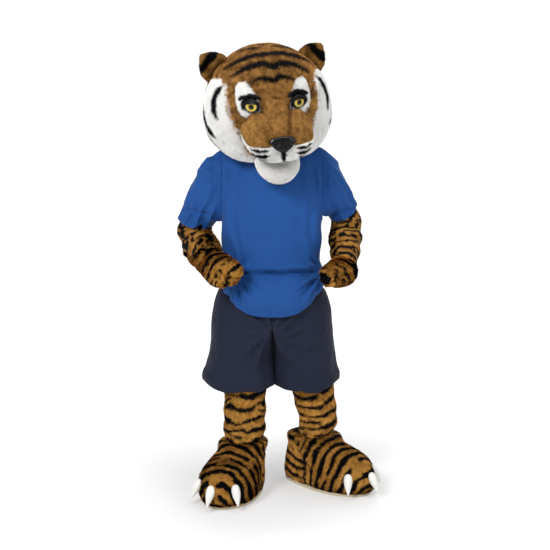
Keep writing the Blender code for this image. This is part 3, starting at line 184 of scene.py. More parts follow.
def makeFurGroup():
    # colour of a hair: ground or stripe by its mask, mottled between two tones, dark at the root as painted shade
    # between the hairs
    group, given, out = newGroup(
        "furColour",
        [
            ("Ground", "NodeSocketColor", (0.5, 0.25, 0.06, 1)),
            ("Ground Light", "NodeSocketColor", (0.7, 0.4, 0.1, 1)),
            ("Stripe", "NodeSocketColor", (0.01, 0.01, 0.012, 1)),
            ("Mottle Scale", "NodeSocketFloat", 14.0),
            ("Root Shade", "NodeSocketFloat", 0.45),
        ],
        [("Colour", "NodeSocketColor"), ("Roughness", "NodeSocketFloat")],
    )
    mask, along, tone = (attributeOf(group, name) for name in ("stripe", "hairTip", "hairTone"))
    broad = noiseOf(group, attributeOf(group, "rootPos", "Vector"), given["Mottle Scale"], 3.0, 0.6)
    mixed = mathNode(group, "MULTIPLY_ADD", broad, 1.5, -0.25, clamp=True)
    mixed = mathNode(group, "MULTIPLY_ADD", tone, 1.2, mixed)
    mixed = mathNode(group, "SUBTRACT", mixed, 0.6, clamp=True)
    ground = mixColor(group, mixed, given["Ground"], given["Ground Light"])
    colour = mixColor(group, mask, ground, given["Stripe"])
    # painted shade: each hair darker towards its root
    low = mathNode(group, "SUBTRACT", 1.0, given["Root Shade"])
    lift = mathNode(group, "MULTIPLY_ADD", along, given["Root Shade"], low)
    grey = addNode(group, "ShaderNodeCombineColor", {"Red": lift, "Green": lift, "Blue": lift}).outputs[0]
    shaded = mixColor(group, 1.0, colour, grey, "MULTIPLY")
    group.links.new(shaded, out["Colour"])
    rough = mathNode(group, "MULTIPLY_ADD", tone, 0.18, 0.62)
    group.links.new(rough, out["Roughness"])
    return group


def makeWeaveGroup():
    # fine cloth: two crossed waves for height, soft cloudy tone
    group, given, out = newGroup(
        "fineCloth",
        [
            ("Colour", "NodeSocketColor", (0.1, 0.2, 0.5, 1)),
            ("Shade", "NodeSocketColor", (0.05, 0.1, 0.3, 1)),
            ("Threads", "NodeSocketFloat", 700.0),
            ("Hem Line", "NodeSocketFloat", 0.022),
            ("Slub", "NodeSocketFloat", 0.3),
        ],
        [("Colour", "NodeSocketColor"), ("Height", "NodeSocketFloat"), ("Roughness", "NodeSocketFloat")],
    )
    where = attributeOf(group, "rootPos", "Vector")
    parts = addNode(group, "ShaderNodeSeparateXYZ", {"Vector": where}).outputs
    level = mathNode(group, "ADD", parts["X"], parts["Y"])
    warp = mathNode(group, "SINE", mathNode(group, "MULTIPLY", level, given["Threads"]))
    weft = mathNode(group, "SINE", mathNode(group, "MULTIPLY", parts["Z"], given["Threads"]))
    thread = mathNode(group, "MULTIPLY", warp, weft)
    slub, cloud = noiseOf(group, where, 60.0, 4.0), noiseOf(group, where, 5.0, 2.0)
    edge = attributeOf(group, "hemDistance")
    off = mathNode(group, "ABSOLUTE", mathNode(group, "SUBTRACT", edge, given["Hem Line"]))
    line = mathNode(group, "SUBTRACT", 1.0, mathNode(group, "DIVIDE", off, 0.0030), clamp=True)
    seam = attributeOf(group, "seamDistance")
    seamLine = mathNode(group, "SUBTRACT", 1.0, mathNode(group, "DIVIDE", seam, 0.004), clamp=True)
    slanted = mathNode(group, "ADD", level, parts["Z"])
    dash = mathNode(group, "SINE", mathNode(group, "MULTIPLY", slanted, 1900.0))
    dash = mathNode(group, "MULTIPLY_ADD", dash, 0.5, 0.6, clamp=True)
    stitch = mathNode(group, "MULTIPLY", line, dash)
    cloud = mathNode(group, "MULTIPLY", cloud, 0.7)
    mixed = mathNode(group, "MULTIPLY_ADD", slub, given["Slub"], cloud, clamp=True)
    mixed = mathNode(group, "MULTIPLY_ADD", thread, 0.10, mixed, clamp=True)
    mixed = mathNode(group, "MAXIMUM", mixed, line)
    mixed = mathNode(group, "MAXIMUM", mixed, mathNode(group, "MULTIPLY", seamLine, 0.9))
    group.links.new(mixColor(group, mixed, given["Colour"], given["Shade"]), out["Colour"])
    height = mathNode(group, "MULTIPLY_ADD", thread, 0.12, mathNode(group, "MULTIPLY", slub, 0.25))
    height = mathNode(group, "SUBTRACT", height, mathNode(group, "MULTIPLY", line, 0.9))
    height = mathNode(group, "SUBTRACT", height, mathNode(group, "MULTIPLY", seamLine, 1.2))
    height = mathNode(group, "ADD", height, mathNode(group, "MULTIPLY", stitch, 0.5))
    group.links.new(height, out["Height"])
    group.links.new(mathNode(group, "MULTIPLY_ADD", slub, 0.15, 0.68), out["Roughness"])
    return group


def makeSpeckleGroup():
    # light wear and grain for vinyl, resin and rubber
    group, given, out = newGroup(
        "fineGrain",
        [
            ("Colour", "NodeSocketColor", (0.8, 0.8, 0.8, 1)),
            ("Soil", "NodeSocketColor", (0.5, 0.45, 0.4, 1)),
            ("Scale", "NodeSocketFloat", 40.0),
            ("Roughness", "NodeSocketFloat", 0.4),
        ],
        [("Colour", "NodeSocketColor"), ("Height", "NodeSocketFloat"), ("Roughness", "NodeSocketFloat")],
    )
    where = addNode(group, "ShaderNodeTexCoord").outputs["Object"]
    grain, fine = noiseOf(group, where, given["Scale"], 6.0), noiseOf(group, where, 900.0, 2.0)
    soil = mathNode(group, "MULTIPLY_ADD", grain, 2.4, -1.05, clamp=True)
    group.links.new(mixColor(group, soil, given["Colour"], given["Soil"]), out["Colour"])
    height = mathNode(group, "MULTIPLY_ADD", fine, 0.4, mathNode(group, "MULTIPLY", grain, 0.6))
    group.links.new(height, out["Height"])
    rough = mathNode(group, "MULTIPLY_ADD", soil, 0.2, given["Roughness"], clamp=True)
    group.links.new(rough, out["Roughness"])
    return group


def freshMaterial(name):
    made = bpy.data.materials.new(name)
    made.use_nodes = True
    return made, made.node_tree, made.node_tree.nodes["Principled BSDF"]


def groupMaterial(name, group, given, own, bump=0.0, depth=0.001):
    # a shared group's outputs, with the shader's own constants beside them
    made, tree, shader = freshMaterial(name)
    node = addNode(tree, "ShaderNodeGroup", node_tree=group)
    setInputs(node, given)
    tree.links.new(node.outputs["Colour"], shader.inputs["Base Color"])
    tree.links.new(node.outputs["Roughness"], shader.inputs["Roughness"])
    if bump:
        relief = {"Height": node.outputs["Height"], "Strength": bump, "Distance": depth}
        tree.links.new(addNode(tree, "ShaderNodeBump", relief).outputs["Normal"], shader.inputs["Normal"])
    setInputs(shader, own)
    return made


def furMaterial(name, ground, lighter, stripe=(0.004, 0.004, 0.005), mottle=14.0, shade=0.55, sheen=0.0):
    given = {
        "Ground": ground, "Ground Light": lighter, "Stripe": stripe, "Mottle Scale": mottle, "Root Shade": shade,
    }
    own = {"Sheen Weight": sheen, "Sheen Roughness": 0.45, "Specular IOR Level": 0.06}
    return groupMaterial(name, furGroup, given, own)


def clothMaterial(name, colour, shade, look, slub, sheen, bump):
    given = {
        "Colour": colour, "Shade": shade, "Threads": look["threads"], "Hem Line": look["hemLine"], "Slub": slub,
    }
    own = {"Sheen Weight": sheen, "Specular IOR Level": 0.12}
    return groupMaterial(name, weaveGroup, given, own, bump, 0.0012)


def grainMaterial(name, colour, soil, scale, roughness, coat=0.0, bump=0.2, shine=0.5):
    given = {"Colour": colour, "Soil": soil, "Scale": scale, "Roughness": roughness}
    own = {"Specular IOR Level": shine, "Coat Weight": coat, "Coat Roughness": 0.08}
    return groupMaterial(name, grainGroup, given, own, bump)


def eyeMaterial():
    # pupil, iris and dark outer ring by the eye's own flat coordinates
    made, tree, shader = freshMaterial("paintedEye")
    where = attributeOf(tree, "eyeCoord", "Vector")
    radius = addNode(tree, "ShaderNodeVectorMath", {0: where}, operation="LENGTH").outputs["Value"]
    streak = noiseOf(tree, where, 9.0, 5.0)
    ramp = addNode(tree, "ShaderNodeValToRGB", {"Fac": mathNode(tree, "MULTIPLY_ADD", streak, 0.10, radius)})
    stops = (
        (0.0, (0.002, 0.002, 0.002, 1)), (0.40, (0.002, 0.002, 0.002, 1)), (0.44, (0.16, 0.10, 0.01, 1)),
        (0.60, (0.52, 0.37, 0.05, 1)), (0.84, (0.50, 0.42, 0.10, 1)), (0.94, (0.05, 0.04, 0.015, 1)),
        (0.98, (0.002, 0.002, 0.002, 1)),
    )
    bar = ramp.color_ramp
    while len(bar.elements) < len(stops):
        bar.elements.new(0.5)
    for element, (at, colour) in zip(bar.elements, stops):
        element.position, element.color = at, colour
    lid = attributeOf(tree, "eyeLid")
    colour = mixColor(tree, lid, ramp.outputs["Color"], (0.004, 0.004, 0.004, 1))
    tree.links.new(colour, shader.inputs["Base Color"])
    tree.links.new(mathNode(tree, "MULTIPLY_ADD", lid, 0.5, 0.2), shader.inputs["Roughness"])
    setInputs(shader, {"Specular IOR Level": 0.15, "Coat Weight": 0.10, "Coat Roughness": 0.03})
    return made


# middle lines that tell outside from inside
def fromFloor(points):
    return np.array(points, float) - [0, 0, shoulderHeight]


lines = {
    "torso": fromFloor([(0, 0, 0.7), (0, 0, 1.46)]),
    "armRight": fromFloor([
        (-0.21, 0.012, 1.31), (-0.25, 0.016, 1.300), (-0.287, 0.040, 1.252), (-0.322, 0.072, 1.193),
        (-0.344, 0.086, 1.144), (-0.345, 0.078, 1.111), (-0.327, 0.058, 1.084), (-0.321, 0.034, 1.068),
        (-0.299, 0.004, 1.052), (-0.292, -0.028, 1.038), (-0.273, -0.068, 1.025), (-0.264, -0.102, 1.013),
        (-0.250, -0.128, 1.004), (-0.241, -0.146, 0.994), (-0.224, -0.170, 0.978), (-0.202, -0.196, 0.959),
        (-0.179, -0.216, 0.944), (-0.158, -0.234, 0.932),
    ]),
    "armLeft": fromFloor([
        (0.21, 0.012, 1.33), (0.241, 0.016, 1.320), (0.271, 0.038, 1.284), (0.305, 0.072, 1.227),
        (0.326, 0.086, 1.189), (0.332, 0.088, 1.150), (0.326, 0.072, 1.118), (0.327, 0.048, 1.091),
        (0.322, 0.020, 1.064), (0.322, -0.010, 1.039), (0.316, -0.044, 1.016), (0.309, -0.076, 0.995),
        (0.301, -0.102, 0.978), (0.297, -0.128, 0.971), (0.288, -0.152, 0.957), (0.272, -0.178, 0.943),
        (0.252, -0.200, 0.931), (0.236, -0.220, 0.924),
    ]),
    "legRight": fromFloor([
        (-0.108, -0.030, 0.74), (-0.108, -0.030, 0.64), (-0.114, -0.042, 0.52),
        (-0.118, -0.055, 0.38), (-0.123, -0.066, 0.245), (-0.123, -0.066, 0.1),
    ]),
    "legLeft": fromFloor([
        (0.120, -0.005, 0.74), (0.120, -0.005, 0.64), (0.160, 0.002, 0.52),
        (0.190, 0.016, 0.38), (0.196, 0.026, 0.245), (0.196, 0.026, 0.1),
    ]),
    "shortsRight": fromFloor([(-0.10, 0, 0.80), (-0.139, -0.012, 0.66), (-0.154, -0.030, 0.46)]),
    "shortsLeft": fromFloor([(0.10, 0, 0.80), (0.142, 0, 0.66), (0.157, 0, 0.46)]),
}
bootFrames = {
    "Right": {"at": (-0.123, -0.066), "turn": -23.0, "heel": 0.0},
    "Left": {"at": (0.196, 0.026), "turn": 50.0, "heel": -0.03},
}
for side, boot in bootFrames.items():
    a = math.radians(boot["turn"])
    ahead = np.array([math.sin(a), -math.cos(a)])
    heel, toe = np.array(boot["at"]) + boot["heel"] * ahead, np.array(boot["at"]) + 0.19 * ahead
    lines["boot" + side] = fromFloor([(*heel, 0.24), (*heel, 0.075), (*toe, 0.06)])

headPose = {"at": (-0.022, -0.045, 1.668), "turn": (15.0, -6.0, 8.0)}
headMatrix = Matrix.LocRotScale(
    Vector(headPose["at"]) - Vector((0, 0, shoulderHeight)),
    Euler([math.radians(a) for a in headPose["turn"]], "XYZ"), None,
)
toHead = np.array(headMatrix.inverted())
fromHead = np.array(headMatrix)


def headLocal(points):
    return points @ toHead[:3, :3].T + toHead[:3, 3]


def headWorld(points):
    return np.array(points, float) @ fromHead[:3, :3].T + fromHead[:3, 3]


lines["head"] = headWorld([(0, 0, -0.06), (0, 0, 0.06)])
lines["snout"] = headWorld([(0, -0.10, -0.05), (0, -0.32, -0.085)])
lines["chin"] = headWorld([(0, -0.12, -0.20), (0, -0.26, -0.20)])


def onLine(points, line):
    # nearest point, share of the whole length and direction of a polyline
    best = np.full(len(points), 1e9)
    spot, run, way = np.zeros_like(points), np.zeros(len(points)), np.zeros_like(points)
    start = 0.0
    for a, b in zip(line[:-1], line[1:]):
        length = np.linalg.norm(b - a)
        t = np.clip(((points - a) @ (b - a)) / length**2, 0, 1)
        near = a + t[:, None] * (b - a)
        gap = np.linalg.norm(points - near, axis=1)
        closer = gap < best
        best[closer] = gap[closer]
        spot[closer], run[closer] = near[closer], start + t[closer] * length
        way[closer] = (b - a) / length
        start += length
    return spot, run, way


# smooth surfaces from the frame's solids
def nodeTriangles(name):
    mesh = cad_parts[name].data
    mesh.calc_loop_triangles()
    points = np.empty(len(mesh.vertices) * 3)
    mesh.vertices.foreach_get("co", points)
    points = points.reshape(-1, 3)
    tris = np.empty(len(mesh.loop_triangles) * 3, int)
    mesh.loop_triangles.foreach_get("vertices", tris)
    return points, tris.reshape(-1, 3)


def treeOf(points):
    tree = KDTree(len(points))
    for i, p in enumerate(points):
        tree.insert(p, i)
    tree.balance()
    return tree


def weld(points, tris, reach=1e-5):
    tree = treeOf(points)
    first = np.arange(len(points))
    for i, p in enumerate(points):
        if first[i] == i:
            for _, j, _ in tree.find_range(p, reach):
                if j > i and first[j] == j:
                    first[j] = i
    used, number = np.unique(first, return_inverse=True)
    return points[used], wholeFaces(number[tris])


def wholeFaces(tris):
    # without the triangles that have shrunk to a line
    return tris[(tris[:, 0] != tris[:, 1]) & (tris[:, 1] != tris[:, 2]) & (tris[:, 0] != tris[:, 2])]


def faceNormals(points, tris):
    a, b, c = points[tris[:, 0]], points[tris[:, 1]], points[tris[:, 2]]
    return np.cross(b - a, c - a)


def outerSide(name, line, slack=0.25, wide=0.0):
    # the faces of one solid that look away from a middle line, without the thin rims
    # a chest is flat between the armholes, so its middle is that wide there
    points, tris = weld(*nodeTriangles(name))
    normals = faceNormals(points, tris)
    size = np.linalg.norm(normals, axis=1)
    tris, normals = tris[size > 1e-12], normals[size > 1e-12] / size[size > 1e-12][:, None]
    middle = points[tris].mean(axis=1)
    spot, _, _ = onLine(middle, line)
    spread = wide * band(middle[:, 2] + shoulderHeight, 1.18, 1.24)
    spot[:, 0] += np.clip(middle[:, 0] - spot[:, 0], -spread, spread)
    out = middle - spot
    out /= np.linalg.norm(out, axis=1)[:, None]
    return points, tris[(normals * out).sum(axis=1) > slack]


def smoothNormals(points, tris):
    normals = faceNormals(points, tris)
    total = np.zeros_like(points)
    for k in range(3):
        a = points[tris[:, (k + 1) % 3]] - points[tris[:, k]]
        b = points[tris[:, (k + 2) % 3]] - points[tris[:, k]]
        cosine = (a * b).sum(1) / (np.linalg.norm(a, axis=1) * np.linalg.norm(b, axis=1) + 1e-12)
        weight = np.arccos(np.clip(cosine, -1, 1))
        unit = normals / (np.linalg.norm(normals, axis=1)[:, None] + 1e-12)
        np.add.at(total, tris[:, k], unit * weight[:, None])
    return total / (np.linalg.norm(total, axis=1)[:, None] + 1e-12)


def roundedSurface(parts, steps, roundness=0.72):
    # parts: list of (points, tris). Normals run on over the seams between the parts.
    sizes = [len(p) for p, _ in parts]
    offsets = np.concatenate([[0], np.cumsum(sizes)])
    allPoints = np.concatenate([p for p, _ in parts])
    allTris = np.concatenate([t + o for (_, t), o in zip(parts, offsets)])
    tree = treeOf(allPoints)
    group = np.arange(len(allPoints))
    for i, p in enumerate(allPoints):
        group[i] = min(j for _, j, _ in tree.find_range(p, 0.0012))
    normals = np.zeros_like(allPoints)
    flat = smoothNormals(allPoints, allTris)
    face = faceNormals(allPoints, allTris)
    unit = face / (np.linalg.norm(face, axis=1)[:, None] + 1e-12)
    for k in range(3):
        np.add.at(normals, group[allTris[:, k]], unit)
    normals = normals[group]
    lost = np.linalg.norm(normals, axis=1) < 1e-9
    normals[lost] = flat[lost]
    normals /= np.linalg.norm(normals, axis=1)[:, None]
    grid = [(i, j) for i in range(steps + 1) for j in range(steps + 1 - i)]
    index = {ij: k for k, ij in enumerate(grid)}
    bary = np.array([(1 - (i + j) / steps, i / steps, j / steps) for i, j in grid])
    small = []
    for i in range(steps):
        for j in range(steps - i):
            small.append((index[i, j], index[i + 1, j], index[i, j + 1]))
            if i + j < steps - 1:
                small.append((index[i + 1, j], index[i + 1, j + 1], index[i, j + 1]))
    small = np.array(small)
    made = []
    for (points, tris), start in zip(parts, offsets):
        corner = points[tris]
        normal = normals[start:start + len(points)][tris]
        flatSpot = np.einsum("gk,tkc->tgc", bary, corner)
        onPlanes = 0
        for k in range(3):
            gap = ((flatSpot - corner[:, None, k]) * normal[:, None, k]).sum(-1)
            onPlanes = onPlanes + bary[None, :, k, None] * (flatSpot - gap[..., None] * normal[:, None, k])
        dense = flatSpot * (1 - roundness) + onPlanes * roundness
        denseNormal = np.einsum("gk,tkc->tgc", bary, normal)
        count = len(grid)
        faces = (small[None] + (np.arange(len(tris)) * count)[:, None, None]).reshape(-1, 3)
        dense, denseNormal = dense.reshape(-1, 3), denseNormal.reshape(-1, 3)
        key = np.round(dense * 2e5).astype(np.int64)
        _, first, number = np.unique(key, axis=0, return_index=True, return_inverse=True)
        number = number.reshape(-1)
        outNormal = denseNormal[first]
        outNormal /= np.linalg.norm(outNormal, axis=1)[:, None]
        made.append({"points": dense[first], "tris": wholeFaces(number[faces]), "normals": outNormal})
    return made


def edgePoints(points, tris):
    # points on the open border of a surface
    edges = np.sort(np.concatenate([tris[:, [0, 1]], tris[:, [1, 2]], tris[:, [2, 0]]]), axis=1)
    found, counts = np.unique(edges, axis=0, return_counts=True)
    return np.unique(found[counts == 1])


def distanceTo(points, others):
    if not len(others):
        return np.full(len(points), 1.0)
    tree = treeOf(others)
    return np.array([tree.find(p)[2] for p in points])


# seeded soft noise
def softNoise(points, size, seed, octaves=2):
    # sum of random plane waves, about -1 to 1
    rng = np.random.default_rng(seed)
    total, weight = np.zeros(len(points)), 0.0
    for o in range(octaves):
        for _ in range(7):
            way = rng.normal(size=3)
            way *= 2 * math.pi / (size / 2**o) / np.linalg.norm(way) * rng.uniform(0.6, 1.3)
            total += np.sin(points @ way + rng.uniform(0, 6.28)) / 2**o
        weight += 7 / 2**o
    return total / weight * 2.2


def band(value, low, high):
    t = np.clip((value - low) / (high - low), 0, 1)
    return t * t * (3 - 2 * t)


# objects
def meshPiece(name, points, tris, material, attributes=None, smooth=True):
    mesh = bpy.data.meshes.new(name)
    mesh.vertices.add(len(points))
    mesh.vertices.foreach_set("co", np.asarray(points, np.float32).ravel())
    mesh.loops.add(len(tris) * 3)
    mesh.loops.foreach_set("vertex_index", np.asarray(tris, np.int32).ravel())
    mesh.polygons.add(len(tris))
    mesh.polygons.foreach_set("loop_start", np.arange(0, len(tris) * 3, 3, dtype=np.int32))
    mesh.update(calc_edges=True)
    if smooth:
        mesh.shade_smooth()
    for key, value in (attributes or {}).items():
        kind, field = ("FLOAT_VECTOR", "vector") if np.ndim(value) == 2 else ("FLOAT", "value")
        layer = mesh.attributes.new(key, kind, "POINT")
        layer.data.foreach_set(field, np.asarray(value, np.float32).ravel())
    mesh.materials.append(material)
    made = bpy.data.objects.new(name, mesh)
    bpy.context.scene.collection.objects.link(made)
    return made


def place(piece, slot, replaced=None):
    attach(piece, "root")
    if replaced:
        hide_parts(replaced)


def thicken(points, tris, normals, wall):
    # a closed thin wall: the surface, its copy moved inwards, and a strip round each open edge
    count = len(points)
    inner = points - normals * wall
    edges = np.concatenate([tris[:, [0, 1]], tris[:, [1, 2]], tris[:, [2, 0]]])
    key = np.sort(edges, axis=1)
    _, first, counts = np.unique(key, axis=0, return_index=True, return_counts=True)
    rim = edges[first[counts == 1]]
    strips = np.concatenate([
        np.stack([rim[:, 1], rim[:, 0], rim[:, 0] + count], 1),
        np.stack([rim[:, 1], rim[:, 0] + count, rim[:, 1] + count], 1),
    ])
    return np.concatenate([points, inner]), np.concatenate([tris, tris[:, ::-1] + count, strips])


def furBlades(name, surface, material, look, comb, stripe, keep=None):
    # hairs as narrow triangles, rooted under the pile's surface and combed over it
    rng = np.random.default_rng(look["seed"])
    points, tris, normals = surface["points"], surface["tris"], surface["normals"]
    area = np.linalg.norm(faceNormals(points, tris), axis=1) / 2
    if keep is not None:
        area = area * keep(points[tris].mean(axis=1))
    count = int(min(look["most"], area.sum() * look["perSquareMetre"]))
    pick = rng.choice(len(tris), count, p=area / area.sum())
    u, v = rng.random(count), rng.random(count)
    flip = u + v > 1
    u[flip], v[flip] = 1 - u[flip], 1 - v[flip]
    w = np.stack([1 - u - v, u, v], 1)[:, :, None]
    root = (points[tris[pick]] * w).sum(1)
    normal = (normals[tris[pick]] * w).sum(1)
    normal /= np.linalg.norm(normal, axis=1)[:, None]
    way = comb(root, normal)
    way = way - (way * normal).sum(1)[:, None] * normal
    way /= np.linalg.norm(way, axis=1)[:, None] + 1e-9
    across = np.cross(normal, way)
    swirl = softNoise(root, look["clump"], look["seed"] + 1) * look["swirl"]
    swirl = swirl + rng.normal(0, look["stray"], count)
    turned = way * np.cos(swirl)[:, None] + across * np.sin(swirl)[:, None]
    side = np.cross(normal, turned)
    tuft = softNoise(root, look["clump"], look["seed"] + 2)
    rise = look["rise"] * (1 + 0.55 * tuft + rng.normal(0, 0.15, count))
    length = look["length"] * (0.8 + 0.4 * rng.random(count))
    length *= 1 + 0.12 * softNoise(root, look["clump"], look["seed"] + 5)
    rise = np.clip(rise, 0.12, 1.2)
    aim = turned + normal * rise[:, None]
    aim /= np.linalg.norm(aim, axis=1)[:, None]
    height = (aim * normal).sum(1) * length
    base = root - normal * (height * look["sink"])[:, None]
    tip = base + aim * length[:, None]
    wide = side * (look["width"] * (0.7 + 0.6 * rng.random(count)) / 2)[:, None]
    corners = np.stack([base - wide, base + wide, tip], 1).reshape(-1, 3)
    faces = np.arange(count * 3).reshape(-1, 3)
    mask = stripe(root) if stripe is not None else np.zeros(count)
    # hair tone by clump and by hair: partly the fur's own mottling, partly painted highlight and shade of the tufts
    tone = 0.5 + look["tufts"] * (0.6 * tuft + 0.6 * softNoise(root, look["clump"] * 0.5, look["seed"] + 8))
    tone += rng.normal(0, 0.15, count) - look.get("darkTop", 0.0) * band(headLocal(root)[:, 2], 0.10, 0.20)
    return meshPiece(name, corners, faces, material, {
        "rootPos": np.repeat(root, 3, axis=0),
        "stripe": np.repeat(np.clip(mask, 0, 1), 3),
        "hairTip": np.tile([0.0, 0.0, 1.0], count),
        "hairTone": np.repeat(np.clip(tone, 0, 1), 3),
    }, smooth=False)


def furSkin(name, surface, material, look, stripe, wall=0.003):
    # the backing under the pile, darkened by the painted root shade as shade under the hairs
    points = surface["points"] - surface["normals"] * look["skinDepth"]
    solid, faces = thicken(points, surface["tris"], surface["normals"], wall)
    mask = stripe(surface["points"]) if stripe is not None else np.zeros(len(points))
    return meshPiece(name, solid, faces, material, {
        "rootPos": np.concatenate([points, points]),
        "stripe": np.concatenate([mask, mask]),
        "hairTip": np.full(2 * len(points), 0.25),
        "hairTone": np.full(2 * len(points), 0.3),
    })


# stripes
def bandStripes(line, seed, perMetre, fill, breaks, offset=0.0):
    # irregular dark bands across a limb, forked and broken by noise
    def mask(points):
        spot, run, _ = onLine(points, line)
        level = (run + (points - spot) @ np.array([0.10, 0.16, 0.0])) * perMetre + offset
        return brokenBands(points, level, seed, perMetre, fill, breaks)
    return mask


def brokenBands(points, level, seed, perMetre, fill, breaks, sway=0.013, forks=1.0):
    warp = softNoise(points, 0.15, seed) * sway + softNoise(points, 0.045, seed + 3) * 0.25 * sway
    level = level + warp * perMetre
    wave = np.cos(2 * math.pi * level)
    fork = np.cos(2 * math.pi * (level * 1.5 + 0.3 * softNoise(points, 0.12, seed + 5)))
    choose = forks * band(softNoise(points, 0.13, seed + 9), 0.15, 0.5)
    wave = wave * (1 - choose) + fork * choose
    width = fill + 0.16 * softNoise(points, 0.09, seed + 7)
    gaps = softNoise(points, breaks, seed + 11)
    value = wave - (1 - 2 * np.clip(width, 0.05, 0.7)) - 1.3 * band(gaps, 0.42, 0.9)
    return band(value, -0.07, 0.07)


def bootStripes(side, part, seed):
    # level bands round the heel, arcs round the toe cap
    look, frameOf = bootLook, bootFrames[side]
    a = math.radians(frameOf["turn"])
    ahead = np.array([math.sin(a), -math.cos(a)])
    tip = np.array([*(np.array(frameOf["at"]) + look["arcAhead"] * ahead), look["arcHeight"] - shoulderHeight])

    def mask(points):
        if part == "heel":
            perMetre, fill = look["heelBands"], look["heelFill"]
            level = (points[:, 2] + 0.10 * (points[:, :2] @ ahead)) * perMetre + 0.45
            return brokenBands(points, level, seed, perMetre, fill, look["breaks"], 0.006, look["forks"])
        perMetre, fill = look["toeBands"], look["toeFill"]
        level = np.linalg.norm((points - tip) * [1, 1, 0.8], axis=1) * perMetre
        return brokenBands(points, level, seed + 4, perMetre, fill, look["breaks"], 0.007, look["forks"])
    return mask


bootLook = {
    "arcAhead": 0.265, "arcHeight": 0.0, "heelBands": 25, "heelFill": 0.46, "toeBands": 32, "toeFill": 0.54,
    "breaks": 0.12, "forks": 0.3,
}


# own layout: points as (degrees round from the front towards +X, degrees up), then width in metres
headStripes = [
    ([(-74, 32), (-48, 52), (-20, 61), (2, 62), (24, 60), (50, 52), (74, 32)], 0.0170),
    ([(-52, 31), (-29, 44), (-9, 49), (4, 44), (16, 47), (32, 42), (50, 28)], 0.0165),
    ([(-24, 27), (-10, 33), (0, 30), (10, 33), (24, 27)], 0.0135),
    ([(-88, 62), (-60, 72), (-14, 75)], 0.0123),
    ([(90, 60), (58, 71), (24, 76)], 0.0123),
    ([(-50, 83), (0, 86), (60, 84)], 0.0117),
    ([(100, 58), (128, 72), (180, 78), (232, 72), (260, 58)], 0.0149),
    ([(112, 48), (138, 62), (180, 66), (222, 62), (248, 48)], 0.0156),
    ([(122, 38), (150, 48), (180, 52), (210, 48), (238, 38)], 0.0163),
    ([(128, 22), (156, 32), (180, 37), (204, 32), (232, 22)], 0.0169),
    ([(132, 6), (158, 16), (180, 20), (202, 16), (228, 6)], 0.0169),
    ([(136, -12), (160, -2), (180, 2), (200, -2), (224, -12)], 0.0163),
    ([(140, -32), (160, -22), (180, -18), (200, -22), (220, -32)], 0.0165),
    ([(146, -48), (164, -38), (180, -35), (196, -38), (214, -48)], 0.0160),
]
for side in (-1, 1):
    headStripes += [
        ([(side * 53, 27), (side * 60, 16), (side * 60, 5), (side * 55, -4)], 0.0180),
        ([(side * 92, 6), (side * 84, -4), (side * 74, -13), (side * 60, -19)], 0.0200),
        ([(side * 102, -6), (side * 92, -18), (side * 78, -28), (side * 60, -33)], 0.0205),
        ([(side * 86, 36), (side * 92, 26), (side * 92, 14)], 0.0185),
        ([(side * 112, 44), (side * 118, 30), (side * 114, 14)], 0.0185),
        ([(side * 120, 2), (side * 116, -14), (side * 104, -30), (side * 88, -40)], 0.0190),
    ]
# on the muzzle, in metres across and up in the head's own frame
muzzleStripes = [([(0.0, -0.100), (0.001, -0.125), (0.0, -0.152)], 0.0052)]
for side in (-1, 1):
    muzzleStripes += [
        ([(0.0, -0.148), (side * 0.030, -0.166), (side * 0.070, -0.166), (side * 0.100, -0.156)], 0.0068),
        ([(side * 0.046, -0.103), (side * 0.080, -0.106), (side * 0.122, -0.094)], 0.0070),
        ([(side * 0.044, -0.121), (side * 0.082, -0.127), (side * 0.126, -0.116)], 0.0070),
        ([(side * 0.052, -0.139), (side * 0.084, -0.145), (side * 0.118, -0.138)], 0.0064),
    ]


def smoothPath(spots, steps=6):
    # a rounded line through the spots
    ends = np.concatenate([[2 * spots[0] - spots[1]], spots, [2 * spots[-1] - spots[-2]]])
    made = []
    for a, b, c, d in zip(ends[:-3], ends[1:-2], ends[2:-1], ends[3:]):
        for t in np.arange(steps) / steps:
            square, cube = (2 * a - 5 * b + 4 * c - d) * t**2, (3 * b - a - 3 * c + d) * t**3
            made.append(0.5 * (2 * b + (c - a) * t + square + cube))
    return np.array([*made, spots[-1]])


def lineMask(points, path, width, soft=0.0015):
    best, run, _ = onLine(points, path)
    total = np.linalg.norm(np.diff(path, axis=0), axis=1).sum()
    share = run / total
    taper = np.clip(np.minimum(share, 1 - share) * 4, 0.06, 1) ** 0.7
    gap = np.linalg.norm(points - best, axis=1)
    return 1 - band(gap, width * taper - soft, width * taper + soft)


def headMask(points):
    local = headLocal(points)
    wobble = np.stack([softNoise(local, 0.07, 5 + k) for k in range(3)], 1) * 0.0026
    way = local / np.linalg.norm(local, axis=1)[:, None] * 0.25 + wobble
    mask = np.zeros(len(points))
    for path, width in headStripes:
        turn = np.radians([p[0] for p in path])
        up = np.radians([p[1] for p in path])
        spots = 0.25 * np.stack([np.sin(turn) * np.cos(up), -np.cos(turn) * np.cos(up), np.sin(up)], 1)
        mask = np.maximum(mask, lineMask(way, smoothPath(spots), width))
    return mask


def muzzleMask(points):
    local = headLocal(points)
    flat = np.stack([local[:, 0], local[:, 2], np.zeros(len(local))], 1)
    flat[:, 1] += 0.0015 * softNoise(local, 0.03, 14)
    mask = np.zeros(len(points))
    for path, width in muzzleStripes:
        spots = np.array([(x, z, 0.0) for x, z in path])
        mask = np.maximum(mask, lineMask(flat, smoothPath(spots), width, 0.001))
    return mask * (local[:, 1] < -0.24)


